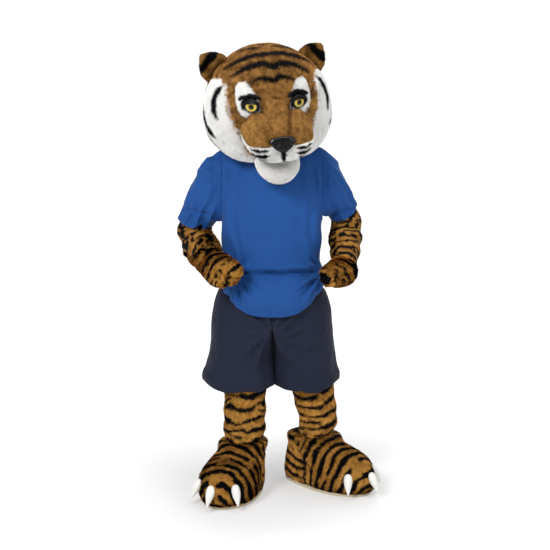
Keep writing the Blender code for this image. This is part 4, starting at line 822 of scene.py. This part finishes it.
def eyeLineMask(points):
    # dark fur close round each eye, with a mark that runs down from its inner corner
    local = headLocal(points)
    x, z = np.abs(local[:, 0]), local[:, 2]
    look = eyeLook
    tall = look["halfHeight"] + np.where(z > look["z"], look["upperLiner"], look["liner"])
    ring = np.hypot((x - look["x"]) / (look["halfWidth"] + look["liner"]), (z - look["z"]) / tall)
    flat = np.stack([x, z, np.zeros(len(x))], 1)
    mark = lineMask(flat, np.array(look["mark"]), look["markWidth"])
    return np.maximum(1 - band(ring, 0.94, 1.02), mark)


earFrames = {}
for side, sign in (("right", -1), ("left", 1)):
    turn = Euler((math.radians(-8), math.radians(sign * 47), math.radians(sign * 12)), "XYZ")
    ear = headMatrix @ Matrix.LocRotScale(Vector((sign * 0.156, 0.035, 0.120)), turn, None)
    earFrames[side] = np.array(ear.inverted())


def earMask(side):
    def mask(points):
        m = earFrames[side]
        local = points @ m[:3, :3].T + m[:3, 3]
        height = local[:, 2] + 0.004 * softNoise(local, 0.05, 31)
        across = band(height, 0.072, 0.078) * (1 - band(height, 0.104, 0.110))
        edge = band(np.abs(local[:, 0]) + 0.2 * height, 0.082, 0.088) * band(height, 0.02, 0.03)
        return np.maximum(across, edge)
    return mask


# looks: what a user would change
furLooks = {
    "limb": {"length": 0.018, "width": 0.0034, "rise": 0.60, "sink": 0.60, "clump": 0.022, "swirl": 0.7,
             "stray": 0.34, "perSquareMetre": 430000, "most": 60000, "skinDepth": 0.0070, "tufts": 0.62, "seed": 11},
    "boot": {"length": 0.015, "width": 0.0034, "rise": 0.60, "sink": 0.60, "clump": 0.022, "swirl": 0.6,
             "stray": 0.32, "perSquareMetre": 430000, "most": 60000, "skinDepth": 0.0070, "tufts": 0.45, "seed": 23},
    "crown": {"length": 0.024, "width": 0.0038, "rise": 0.55, "sink": 0.62, "clump": 0.026, "swirl": 0.8,
              "stray": 0.32, "perSquareMetre": 420000, "most": 120000, "skinDepth": 0.008, "tufts": 0.85,
              "darkTop": 0.34, "seed": 37},
    "cheek": {"length": 0.021, "width": 0.0036, "rise": 0.55, "sink": 0.60, "clump": 0.028, "swirl": 0.6,
              "stray": 0.28, "perSquareMetre": 420000, "most": 70000, "skinDepth": 0.008, "tufts": 0.5, "seed": 41},
    "face": {"length": 0.012, "width": 0.0030, "rise": 0.52, "sink": 0.62, "clump": 0.018, "swirl": 0.5,
             "stray": 0.28, "perSquareMetre": 560000, "most": 45000, "skinDepth": 0.005, "tufts": 0.4, "seed": 53},
    "ear": {"length": 0.013, "width": 0.0030, "rise": 0.65, "sink": 0.6, "clump": 0.020, "swirl": 0.6,
            "stray": 0.32, "perSquareMetre": 560000, "most": 30000, "skinDepth": 0.004, "tufts": 0.5, "seed": 61},
    "brow": {"length": 0.010, "width": 0.0024, "rise": 0.5, "sink": 0.55, "clump": 0.02, "swirl": 0.3,
             "stray": 0.2, "perSquareMetre": 900000, "most": 6000, "skinDepth": 0.002, "tufts": 0.2, "seed": 71},
}
suitLook = {
    "armStripes": 21, "armFill": 0.50, "legStripes": 20, "legFill": 0.42,
    "belowHem": 0.003, "drawnIn": 0.024, "bareLeg": (0.19, 0.54),
    "armCut": (0.45, 0.26), "forearmCut": (0.42, 0.28), "legCut": (0.66, 0.60), "bodyCut": (0.56, 0.78),
}
pawLook = {
    "stripes": 27, "fill": 0.40, "grooves": (-0.021, 0.002, 0.024), "grooveWidth": 0.0085,
    "grooveDepth": 0.017, "lobeHeight": 0.004, "grooveLength": 0.095,
}
eyeLook = {
    "x": 0.097, "z": 0.048, "halfWidth": 0.031, "halfHeight": 0.024, "depth": 0.013, "base": -0.232, "slope": 0.55,
    "sunk": 0.02, "rim": 0.0014, "rimBase": -0.236, "rimOut": 0.002, "iris": 0.0235, "lid": (0.36, 0.44),
    "liner": 0.0040, "upperLiner": 0.0065, "mark": ((0.072, 0.040, 0), (0.064, 0.018, 0)), "markWidth": 0.005,
}
browLook = {
    "line": ((0.058, 0.083), (0.078, 0.092), (0.098, 0.095), (0.118, 0.092), (0.137, 0.081)),
    "drop": 0.0095, "keep": 0.85, "flatter": 0.004,
}
snoutLook = {
    "bridge": ((-0.37, 0.040), (-0.30, 0.058), (-0.20, 0.066)),
    "valleyWidth": 0.012, "valleyDepth": 0.018, "puff": 0.009,
}
noseLook = {
    "voxel": 0.0022, "rounds": 22, "relax": 0.6, "holeX": 0.024, "holeZ": -0.078, "holeDepth": 0.007, "front": -0.36,
}
shirtLook = {
    "wall": 0.0014, "threads": 2600.0, "hemLine": 0.020, "sink": 0.0003, "tuckHeight": 0.961, "tuckDepth": 0.020,
    "drags": 0.0115, "upright": 0.0042, "sleeve": 0.0095, "crook": 0.009, "behind": 0.006,
    "holdAbove": 1.14, "hold": 0.035, "chest": 0.14,
}
# innerLegs: height, then the middle and the two legs' inner edges across
shortsLook = {
    "wall": 0.0016, "threads": 1900.0, "hemLine": 0.033, "sink": 0.0003, "waves": 0.0055, "drags": 0.0095,
    "slant": 0.011, "apart": -0.0012, "hemRise": 0.018, "rightRise": 0.006,
    "innerLegs": (
        (0.447, 0.0115, 0.009, 0.014), (0.515, 0.009, 0.006, 0.012), (0.585, 0.004, 0.0, 0.008),
        (0.660, 0.0025, 0.0, 0.005), (0.70, 0.0, -0.001, 0.001), (0.76, 0.0, -0.001, 0.001),
    ),
}
neckLook = {"wall": 0.002, "threads": 1800.0, "hemLine": 0.012, "sink": 0.0003, "drawnIn": 0.030}

furGroup, weaveGroup, grainGroup = makeFurGroup(), makeWeaveGroup(), makeSpeckleGroup()
materials = {
    "orange": furMaterial("orangeFur", (0.32, 0.132, 0.020), (0.92, 0.48, 0.105), mottle=18.0),
    "brown": furMaterial("brownFur", (0.125, 0.052, 0.012), (0.52, 0.265, 0.072), mottle=26.0),
    "white": furMaterial("whiteFur", (0.76, 0.75, 0.72), (0.93, 0.925, 0.91), shade=0.30, sheen=0.02),
    # the chin's stripe colour is the brown of its painted shade underneath
    "chin": furMaterial("chinFur", (0.70, 0.69, 0.66), (0.86, 0.85, 0.83), stripe=(0.36, 0.18, 0.07), shade=0.28),
    "black": furMaterial("blackFur", (0.012, 0.012, 0.014), (0.03, 0.03, 0.034)),
    "jersey": clothMaterial(
        "blueJersey", (0.0145, 0.078, 0.285), (0.0095, 0.054, 0.205), shirtLook, 0.35, 0.05, 0.35
    ),
    "twill": clothMaterial("navyCloth", (0.017, 0.021, 0.042), (0.010, 0.012, 0.026), shortsLook, 0.3, 0.03, 0.4),
    "lining": clothMaterial("blackLining", (0.020, 0.020, 0.022), (0.010, 0.010, 0.012), neckLook, 0.3, 0.1, 0.4),
    "claw": grainMaterial("whiteClaw", (0.88, 0.87, 0.83), (0.78, 0.75, 0.68), 30.0, 0.34, coat=0.2, bump=0.12),
    "sole": grainMaterial("paleSole", (0.62, 0.53, 0.38), (0.42, 0.36, 0.27), 60.0, 0.75, bump=0.5),
    "vinyl": grainMaterial(
        "blackVinyl", (0.003, 0.003, 0.004), (0.006, 0.006, 0.007), 50.0, 0.24, coat=0.12, bump=0.08, shine=0.18
    ),
    "eye": eyeMaterial(),
}
print("materials made")


# combing directions
def combAlong(line, down=0.35):
    def comb(root, normal):
        _, _, way = onLine(root, line)
        return way + np.array([0, 0, -down])
    return comb


def combFace(root, normal):
    # away from the nose, up over the forehead and back over the cheeks
    local = headLocal(root)
    away = local - np.array([0, -0.36, -0.07])
    away[:, 2] += 0.05
    return away @ fromHead[:3, :3].T


# furred limbs and boots
def furPiece(names, line, kind, finish, stripe, comb, slot, keep=None, steps=5, furred=True, slack=0.25, shape=None):
    # backing and hair of pieces that share one surface, each with the stripe of its own or the one for all
    surfaces = roundedSurface([outerSide(n, lines[line], slack) for n in names], steps)
    stripes = stripe if isinstance(stripe, list) else [stripe] * len(names)
    made = []
    for name, surface, own in zip(names, surfaces, stripes):
        if shape:
            surface["points"] = shape(surface["points"], surface["normals"])
            surface["normals"] = smoothNormals(surface["points"], surface["tris"])
        look = furLooks[kind]
        skin = furSkin(name + "_backing", surface, materials[finish], look, own)
        place(skin, slot, name)
        hair = None
        if furred:
            here = dict(look, seed=look["seed"] + len(name) + ord(name[-1]))
            hair = furBlades(name + "_fur", surface, materials[finish], here, comb, own, keep)
            place(hair, slot)
        made.append((skin, hair))
    return made


def drawnIn(points, normals, sleeve):
    # the upper arm is slimmer where the sleeve covers it
    cover, hem = sleeveCovers[sleeve]
    tree = treeOf(cover)
    depth = np.array([hem[tree.find(p)[1]] for p in points])
    return points - normals * (suitLook["drawnIn"] * band(depth, 0.004, 0.022))[:, None]


def makeSuit():
    look, floor = suitLook, -shoulderHeight
    for side, seed in (("Right", 3), ("Left", 8)):
        low, arm, leg = side.lower(), lines["arm" + side], lines["leg" + side]
        sleeve = "shirt_sleeve_" + low
        middle, below = hemPlanes[sleeve]
        names = ["suit_arm_" + low, "suit_forearm_" + low]
        stripe = bandStripes(arm, seed, look["armStripes"], look["armFill"], 0.075)
        made = furPiece(
            names, "arm" + side, "limb", "orange", stripe, combAlong(arm), "orange_fur",
            lambda p: (p - middle) @ below > look["belowHem"], shape=lambda p, n: drawnIn(p, n, sleeve),
        )
        stripe = bandStripes(leg, seed + 11, look["legStripes"], look["legFill"], 0.075)
        ankle, knee = look["bareLeg"]
        skin, hair = furPiece(
            ["suit_leg_" + low], "leg" + side, "limb", "orange", stripe, combAlong(leg), "orange_fur",
            lambda p: (p[:, 2] < knee + floor) & (p[:, 2] > ankle + floor),
        )[0]
    body = ["suit_front", "suit_back"]
    for skin, _ in furPiece(
        body, "torso", "limb", "orange", None, None, "orange_fur", furred=False, steps=3, slack=0.1
    ):
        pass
    print("suit made")


def fingers(line):
    # grooves between four finger lobes, deeper towards the tip of the paw
    look, whole = pawLook, np.linalg.norm(np.diff(line, axis=0), axis=1).sum()

    def shape(points, normals):
        spot, run, _ = onLine(points, line)
        level = (points - spot)[:, 2] + 0.003 * softNoise(points, 0.05, 77)
        near = band(run, whole - look["grooveLength"], whole - 0.35 * look["grooveLength"])
        move = np.full(len(points), look["lobeHeight"])
        for groove in look["grooves"]:
            move -= look["grooveDepth"] * np.exp(-(((level - groove) / look["grooveWidth"]) ** 2))
        return points + normals * (move * near)[:, None]
    return shape


def makePaws():
    for side, seed in (("Right", 5), ("Left", 9)):
        name = "paw_" + side.lower()
        line = lines["arm" + side]
        cuff = onLine(line[11:12], line)[1][0]
        stripe = bandStripes(line, seed, pawLook["stripes"], pawLook["fill"], 0.07, 0.2)
        skin, _ = furPiece(
            [name], "arm" + side, "limb", "orange", stripe, combAlong(line, 0.2), "orange_fur",
            lambda p: onLine(p, line)[1] > cuff, steps=9, slack=-0.05, shape=fingers(line),
        )[0]
    print("paws made")


def makeBoots():
    for side, seed in (("Right", 21), ("Left", 27)):
        low = side.lower()
        names = ["boot_toe_" + low, "boot_heel_" + low]
        stripes = [bootStripes(side, part, seed) for part in ("toe", "heel")]
        comb = combAlong(lines["boot" + side], 0.5)
        for skin, _ in furPiece(names, "boot" + side, "boot", "orange", stripes, comb, "orange_fur", slack=-0.12):
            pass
        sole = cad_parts["boot_sole_" + low].data.materials
        sole.clear()
        sole.append(materials["sole"])
        for k in (1, 2, 3):
            smoothNode(f"claw_{low}_{k}", "claw", "white_claw", 4)
    print("boots made")


def smoothNode(name, material, slot, steps, shape=None):
    # a rounder copy of a rigid solid
    points, tris = weld(*nodeTriangles(name))
    surface = roundedSurface([(points, tris)], steps)[0]
    points = shape(surface["points"]) if shape else surface["points"]
    made = meshPiece(name + "_smooth", points, surface["tris"], materials[material])
    place(made, slot, name)
    return made


# head
def makeHead():
    shell = ["head_crown", "head_cheek_right", "head_cheek_left", "head_eye_patch_right", "head_eye_patch_left"]
    surfaces = roundedSurface([outerSide(n, lines["head"], 0.2) for n in shell], 5)
    for name, surface, kind in zip(shell, surfaces, ("crown", "cheek", "cheek", "face", "face")):
        look = dict(furLooks[kind], seed=furLooks[kind]["seed"] + len(name) + ord(name[-1]))
        stripe = headMask if kind != "face" else eyeLineMask
        finish = "brown" if kind == "crown" else "white"
        if kind == "crown":
            surface["points"] = bridgeShape(surface["points"], surface["normals"])
        skin = furSkin(name + "_backing", surface, materials[finish], look, stripe)
        place(skin, finish + "_fur", name)
        place(furBlades(name + "_fur", surface, materials[finish], look, combFace, stripe), finish + "_fur")
    for name, line, finish, slot, stripe, shape in (
        ("snout_top", "snout", "brown", "brown_fur", None, bridgeShape),
        ("snout_pads", "snout", "white", "white_fur", muzzleMask, None),
        ("head_chin", "chin", "chin", "white_fur", chinShadeMask, None),
    ):
        skin, _ = furPiece([name], line, "face", finish, stripe, combFace, slot, slack=0.0, shape=shape)[0]
    for side in ("right", "left"):
        makeEar(side)
        makeEye(side, -1 if side == "right" else 1)
        makeBrow("brow_" + side)
    makeNose()
    print("head made")


def chinShadeMask(points):
    # painted shade: a brown darkening of the chin's underside
    return 0.8 * band(-headLocal(points)[:, 2], 0.258, 0.272)


def bridgeShape(points, normals):
    # a valley down each side of the broad bridge, and a fuller cheek of the muzzle beside it
    look = snoutLook
    local = headLocal(points)
    depths, widths = np.array(look["bridge"]).T
    edge = np.interp(local[:, 1], depths, widths) + 0.10 * np.clip(local[:, 2] - 0.02, -0.02, 0.12)
    off = np.abs(local[:, 0]) - edge
    faces = band(-(normals @ fromHead[:3, 1]), -0.3, 0.2) * band(-local[:, 1], 0.14, 0.19)
    low = (1 - band(local[:, 2], 0.06, 0.10)) * band(local[:, 2], -0.10, -0.05)
    move = -look["valleyDepth"] * np.exp(-((off / look["valleyWidth"]) ** 2))
    move += look["puff"] * np.exp(-(((off - 0.030) / 0.022) ** 2))
    return points + normals * (move * faces * low)[:, None]


def slimBrow(points):
    # thinner and lower than its solid, close to the fur
    look, local = browLook, headLocal(points)
    across, level = np.array(look["line"]).T
    middle = np.interp(np.abs(local[:, 0]), across, level)
    local[:, 2] = middle - look["drop"] + (local[:, 2] - middle) * look["keep"]
    local[:, 1] += look["flatter"]
    return headWorld(local)


def makeBrow(name):
    points, tris = weld(*nodeTriangles(name))
    normal = faceNormals(points, tris)
    normal /= np.linalg.norm(normal, axis=1)[:, None] + 1e-12
    front = normal @ fromHead[:3, 1] < 0.3
    surface = roundedSurface([(points, tris[front])], 4)[0]
    surface["points"] = slimBrow(surface["points"])
    place(furBlades(name + "_fur", surface, materials["black"], furLooks["brow"], combFace, None), "black_fur")
    smoothNode(name, "black", "black_fur", 3, slimBrow)


def makeEar(side):
    name = "ear_" + side
    surface = roundedSurface([weld(*nodeTriangles(name))], 4)[0]
    look = dict(furLooks["ear"], seed=furLooks["ear"]["seed"] + len(name))
    mask = earMask(side)
    inwards = surface["points"] - surface["normals"] * look["skinDepth"]
    count = len(inwards)
    # the backing darkened by the painted root shade, as shade under the hairs
    skin = meshPiece(name + "_backing", inwards, surface["tris"], materials["brown"], {
        "rootPos": inwards, "stripe": mask(inwards), "hairTip": np.full(count, 0.25), "hairTone": np.full(count, 0.3),
    })
    up = np.linalg.inv(earFrames[side])[:3, 2]
    comb = lambda root, normal: np.tile(up, (len(root), 1))
    place(skin, "brown_fur", name)
    place(furBlades(name + "_fur", surface, materials["brown"], look, comb, mask), "brown_fur")


def makeEye(side, sign):
    # a domed eye with a dark rim laid round it
    look, rows, count = eyeLook, 12, 48
    middle = sign * look["x"]
    points, coords, lids = [], [], []
    for i in range(rows):
        lift = math.pi / 2 * i / rows
        for j in range(count):
            turn = 2 * math.pi * j / count
            u, v = math.cos(turn) * math.cos(lift), math.sin(turn) * math.cos(lift)
            x, up = middle + look["halfWidth"] * u, look["halfHeight"] * v
            y = look["base"] + look["slope"] * (abs(x) - look["x"]) - look["depth"] * math.sin(lift)
            points.append((x, y, look["z"] + up))
            coords.append(((x - middle) / look["iris"], up / look["iris"], 0))
            lids.append(float(band(np.array([v + 0.25 * u * u]), *look["lid"])[0]))
    base = [(p[0], p[1] + look["sunk"], p[2]) for p in points[:count]]
    points = base + points + [(middle, look["base"] - look["depth"], look["z"])]
    coords, lids = coords[:count] + coords + [(0, 0, 0)], lids[:count] + lids + [0.0]
    tris = []
    for i in range(rows):
        for j in range(count):
            k, a, b = (j + 1) % count, i * count, (i + 1) * count
            tris += [(a + j, a + k, b + k), (a + j, b + k, b + j)]
    last = rows * count
    tris += [(last + j, last + (j + 1) % count, len(points) - 1) for j in range(count)]
    tris += [(0, (j + 1), j) for j in range(1, count - 1)]
    place(meshPiece("eye_" + side + "_dome", headWorld(points), tris, materials["eye"], {
        "eyeCoord": np.array(coords, float), "eyeLid": np.array(lids),
    }), "eye_resin", "eye_" + side)
    makeRim(side, middle, count)


def makeRim(side, middle, count):
    look, points, tris, around = eyeLook, [], [], 10
    for j in range(count):
        turn = 2 * math.pi * j / count
        x = middle + (look["halfWidth"] + look["rimOut"]) * math.cos(turn)
        z = look["z"] + (look["halfHeight"] + look["rimOut"]) * math.sin(turn)
        y = look["rimBase"] + look["slope"] * (abs(x) - look["x"])
        thick = look["rim"] * (1.0 + 0.9 * max(math.sin(turn), 0.0))
        for m in range(around):
            a = 2 * math.pi * m / around
            out = math.cos(a) * thick
            points.append((x + out * math.cos(turn), y - math.sin(a) * thick * 1.3, z + out * math.sin(turn)))
            n, o = (j + 1) % count, (m + 1) % around
            p, q, r, s = j * around + m, n * around + m, n * around + o, j * around + o
            tris += [(p, s, r), (p, r, q)]
    place(meshPiece("eye_" + side + "_rim", headWorld(points), tris, materials["vinyl"]), "black_vinyl")


def makeNose():
    # the solid's form made even and round, with two nostrils pressed in
    look = noseLook
    nose = bpy.data.objects.new("nose_soft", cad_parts["nose"].data.copy())
    bpy.context.scene.collection.objects.link(nose)
    even = nose.modifiers.new("even", "REMESH")
    even.mode, even.voxel_size = "VOXEL", look["voxel"]
    relax = nose.modifiers.new("round", "SMOOTH")
    relax.iterations, relax.factor = look["rounds"], look["relax"]
    smooth = bpy.data.meshes.new_from_object(nose.evaluated_get(bpy.context.evaluated_depsgraph_get()))
    nose.modifiers.clear()
    nose.data = smooth
    local = headLocal(np.array([tuple(v.co) for v in smooth.vertices]))
    for sign in (-1, 1):
        hole = np.array([sign * look["holeX"], 0, look["holeZ"]])
        gap = np.linalg.norm((local - hole) * [1, 0, 1.5], axis=1)
        local[:, 1] += look["holeDepth"] * (1 - band(gap, 0.003, 0.013)) * (local[:, 1] < look["front"])
    smooth.vertices.foreach_set("co", headWorld(local).astype(np.float32).ravel())
    smooth.shade_smooth()
    smooth.materials.clear()
    smooth.materials.append(materials["vinyl"])
    place(nose, "black_vinyl", "nose")


# shirt
def crease(value, sharp=0.6):
    # -1 to 1 like a sine, with narrow valleys and broad crests
    return 1 - 2 * np.abs(np.sin(value / 2 - math.pi / 4)) ** sharp


def shirtFolds(points, normals):
    look = shirtLook
    p = points + [0, 0, shoulderHeight]
    x, y, z = p[:, 0], p[:, 1], p[:, 2]
    front = band(-normals[:, 1], -0.2, 0.5)
    body = 1 - band(np.abs(x), 0.20, 0.235)
    # the tuck that the paws make across the front: the cloth above hangs over it
    tuck = look["tuckHeight"] + 0.005 * np.sin(9 * x + 1) + 0.004 * softNoise(p * [1, 0, 0], 0.12, 2)
    across = (1 - band(np.abs(x - 0.01), 0.14, 0.20)) * front
    over = look["tuckDepth"] * np.exp(-(((z - tuck - 0.018) / 0.016) ** 2))
    under = look["tuckDepth"] * np.exp(-(((z - tuck + 0.001) / 0.0065) ** 2))
    move = across * (over - 1.2 * under)
    # drags that fan out from each paw, most of them downwards
    for hand, sign in ((np.array([-0.155, 0.950]), -1), (np.array([0.210, 0.955]), 1)):
        dx, dz = x - hand[0], z - hand[1]
        far = np.hypot(dx, dz)
        turn = np.arctan2(dz, dx)
        rays = crease(11 * turn + 1.6 * softNoise(p, 0.22, 6 + sign)) + 0.4 * np.sin(23 * turn + sign)
        reach = np.where(dz < 0, 0.17, 0.11)
        move += look["drags"] * rays * band(far, 0.012, 0.05) * (1 - band(far / reach, 0.35, 1.0)) * front
    # upright creases beside each armhole
    beside = band(np.abs(x), 0.09, 0.16) * (1 - band(np.abs(x), 0.212, 0.235))
    beside = beside * band(z, 1.00, 1.10) * (1 - band(z, 1.36, 1.46))
    wave = np.sin(np.abs(x) * 2 * math.pi / 0.058 + 3.2 * softNoise(p * [1, 1, 0.6], 0.20, 9))
    move += look["upright"] * wave * beside
    # slanting folds down each sleeve, deepest on its inner side
    sleeve = band(np.abs(x), 0.225, 0.26)
    slant = z * 0.80 + np.abs(x) * 1.05 + 0.35 * y
    wave = crease(slant * 2 * math.pi / 0.060 + 2.2 * softNoise(p, 0.15, 12), 0.7)
    inner = 0.45 + 0.55 * band(1.34 - z - 0.6 * (np.abs(x) - 0.24), 0.0, 0.16)
    move += sleeve * look["sleeve"] * wave * inner
    # one deeper fold across the crook of the arm
    crook = z - 1.205 - 0.35 * (np.abs(x) - 0.30)
    move -= sleeve * look["crook"] * np.exp(-((crook / 0.008) ** 2)) * band(-y, -0.08, 0.0)
    # back: long soft folds
    wave = np.sin(x * 2 * math.pi / 0.11 + 1.5 * softNoise(p, 0.4, 15))
    move += look["behind"] * (1 - front) * body * wave * (1 - band(z, 1.25, 1.42))
    move += 0.0034 * softNoise(p, 0.20, 18) * body + 0.0012 * softNoise(p, 0.07, 21)
    return points + normals * move[:, None]


def shortsFolds(points, normals):
    look = shortsLook
    p = points + [0, 0, shoulderHeight]
    x, y, z = p[:, 0], p[:, 1], p[:, 2]
    levels, middles, right, left = np.array(look["innerLegs"]).T
    middle, rightEdge, leftEdge = (np.interp(z, levels, values) for values in (middles, right, left))
    onRight = x < middle
    turn = np.arctan2(y, x - np.where(onRight, -0.145, 0.150))
    low = 1 - band(z, 0.48, 0.80)
    inner = np.where(onRight, band(x, rightEdge - 0.07, rightEdge), band(-x, -leftEdge - 0.07, -leftEdge))
    inner = inner * (1 - band(z, 0.736, 0.750))
    wave = np.sin(5 * turn + 1.8 * softNoise(p * [1, 1, 0.35], 0.30, 33))
    move = look["waves"] * wave * (0.25 + 0.75 * low) * (1 - inner)
    # creases that run out from the crotch
    far = np.hypot(x - 0.004, (z - 0.70))
    rays = crease(11 * np.arctan2(z - 0.70, x - 0.004) + 2 * softNoise(p, 0.25, 36))
    rays = rays * band(far, 0.015, 0.05) * (1 - band(far, 0.10, 0.22))
    move += look["drags"] * rays * band(-normals[:, 1], 0.1, 0.6)
    # one slanting crease on the wearer's left leg
    slant = (z - 0.64) - 0.9 * (x - 0.15)
    onLeft = band(x, 0.06, 0.10) * (1 - band(x, 0.20, 0.26)) * band(-normals[:, 1], 0.3, 0.8)
    move += look["slant"] * np.exp(-((slant / 0.010) ** 2)) * onLeft
    move += (0.0028 * softNoise(p, 0.18, 39) + 0.001 * softNoise(p, 0.06, 42)) * (1 - inner)
    moved = points + normals * move[:, None]
    # the two legs rest against each other, and the hem rises towards the outside
    step = np.where(onRight, middle - look["apart"] - rightEdge, middle + look["apart"] - leftEdge)
    moved[:, 0] += step * inner ** 2
    rise = look["hemRise"] * band(np.abs(x), 0.17, 0.30) + look["rightRise"] * onRight
    moved[:, 2] += rise * (1 - band(z, 0.46, 0.62))
    return moved


hemPlanes = {}  # middle and downward way of each sleeve's hem
sleeveCovers = {}  # points of each sleeve and how far they are from its hem


def clothPanels(lineOf, folds, material, slot, look, steps, sheets, slack=0.15):
    # panels that are sewn to each other: rounded, folded, and given a wall
    wide = {n: look.get("chest", 0.0) if line == "torso" else 0.0 for n, line in lineOf.items()}
    surfaces = roundedSurface([outerSide(n, lines[line], slack, wide[n]) for n, line in lineOf.items()], steps)
    borders = [s["points"][edgePoints(s["points"], s["tris"])] for s in surfaces]
    for i, (name, surface) in enumerate(zip(lineOf, surfaces)):
        others = np.concatenate([b for j, b in enumerate(borders) if j != i] or [np.zeros((0, 3))])
        border = borders[i]
        apart = distanceTo(border, others)
        free, sewn = border[apart > 0.004], border[apart <= 0.004]
        hem = distanceTo(surface["points"], free)
        seam = distanceTo(surface["points"], sewn)
        points = surface["points"] - surface["normals"] * look["sink"]
        if folds:
            move = folds(points, surface["normals"]) - points
            if "hold" in look:  # still beside the armhole seams
                firm = sewn[sewn[:, 2] > look["holdAbove"] - shoulderHeight]
                move *= band(distanceTo(surface["points"], firm), 0.0, look["hold"])[:, None]
            if "sleeve" in name:  # and less at a sleeve's hem
                move *= (0.4 + 0.6 * band(hem, 0.0, 0.03))[:, None]
            points = points + move
        normals = smoothNormals(points, surface["tris"])
        solid, faces = thicken(points, surface["tris"], normals, look["wall"])
        piece = meshPiece(name + "_cloth", solid, faces, materials[material], {
            "rootPos": np.concatenate([surface["points"], surface["points"]]),
            "hemDistance": np.concatenate([hem, hem]),
            "seamDistance": np.concatenate([seam, seam]),
        })
        place(piece, slot, name)
        width, length, share, held, on = sheets[name]
        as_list(on)
        if "sleeve" in name:
            sleeveCovers[name] = (points, hem)
            ring = points[edgePoints(surface["points"], surface["tris"])][apart > 0.004]
            middle = ring.mean(axis=0)
            below = np.linalg.svd(ring - middle)[2][2]
            hemPlanes[name] = (middle, below * np.sign(below @ (middle - points.mean(axis=0))))


def makeShirt():
    lineOf = {
        "shirt_front": "torso", "shirt_back": "torso",
        "shirt_sleeve_right": "armRight", "shirt_sleeve_left": "armLeft",
    }
    sheets = {
        "shirt_front": (0.60, 0.74, 0.86, "hung", ["suit_front"]),
        "shirt_back": (0.60, 0.74, 0.88, "hung", ["suit_back"]),
        "shirt_sleeve_right": (0.60, 0.24, 0.85, "hung", ["suit_arm_right"]),
        "shirt_sleeve_left": (0.60, 0.24, 0.85, "hung", ["suit_arm_left"]),
    }
    clothPanels(lineOf, shirtFolds, "jersey", "blue_jersey", shirtLook, 8, sheets)
    sheets = {"shirt_neckband": (0.50, 0.013, 0.98, "hung", ["shirt_front", "shirt_back"])}
    look = dict(shirtLook, hemLine=0.004)
    clothPanels({"shirt_neckband": "torso"}, None, "jersey", "blue_jersey", look, 5, sheets, 0.4)
    print("shirt made")


def makeShorts():
    names = [f"shorts_{part}_{side}" for part in ("front", "back") for side in ("right", "left")]
    lineOf = {n: "shortsRight" if n.endswith("right") else "shortsLeft" for n in names}
    sheets = {n: (0.40, 0.56, 0.82, "hung", ["shorts_waistband"]) for n in lineOf}
    clothPanels(lineOf, shortsFolds, "twill", "navy_twill", shortsLook, 7, sheets, 0.05)
    sheets = {"shorts_waistband": (1.02, 0.042, 0.98, "stretched", ["suit_front", "suit_back"])}
    clothPanels({"shorts_waistband": "torso"}, None, "twill", "navy_twill", shortsLook, 4, sheets, 0.4)
    print("shorts made")


def makeNeck():
    drawn = lambda points, normals: points - normals * neckLook["drawnIn"]
    sheets = {"head_neck": (0.85, 0.16, 0.75, "hung", ["head_crown"])}
    clothPanels({"head_neck": "torso"}, drawn, "lining", "neck_cloth", neckLook, 6, sheets, -0.2)
    print("neck made")


setStage()
makeShirt()
makeShorts()
makeNeck()
makeSuit()
makePaws()
makeBoots()
makeHead()
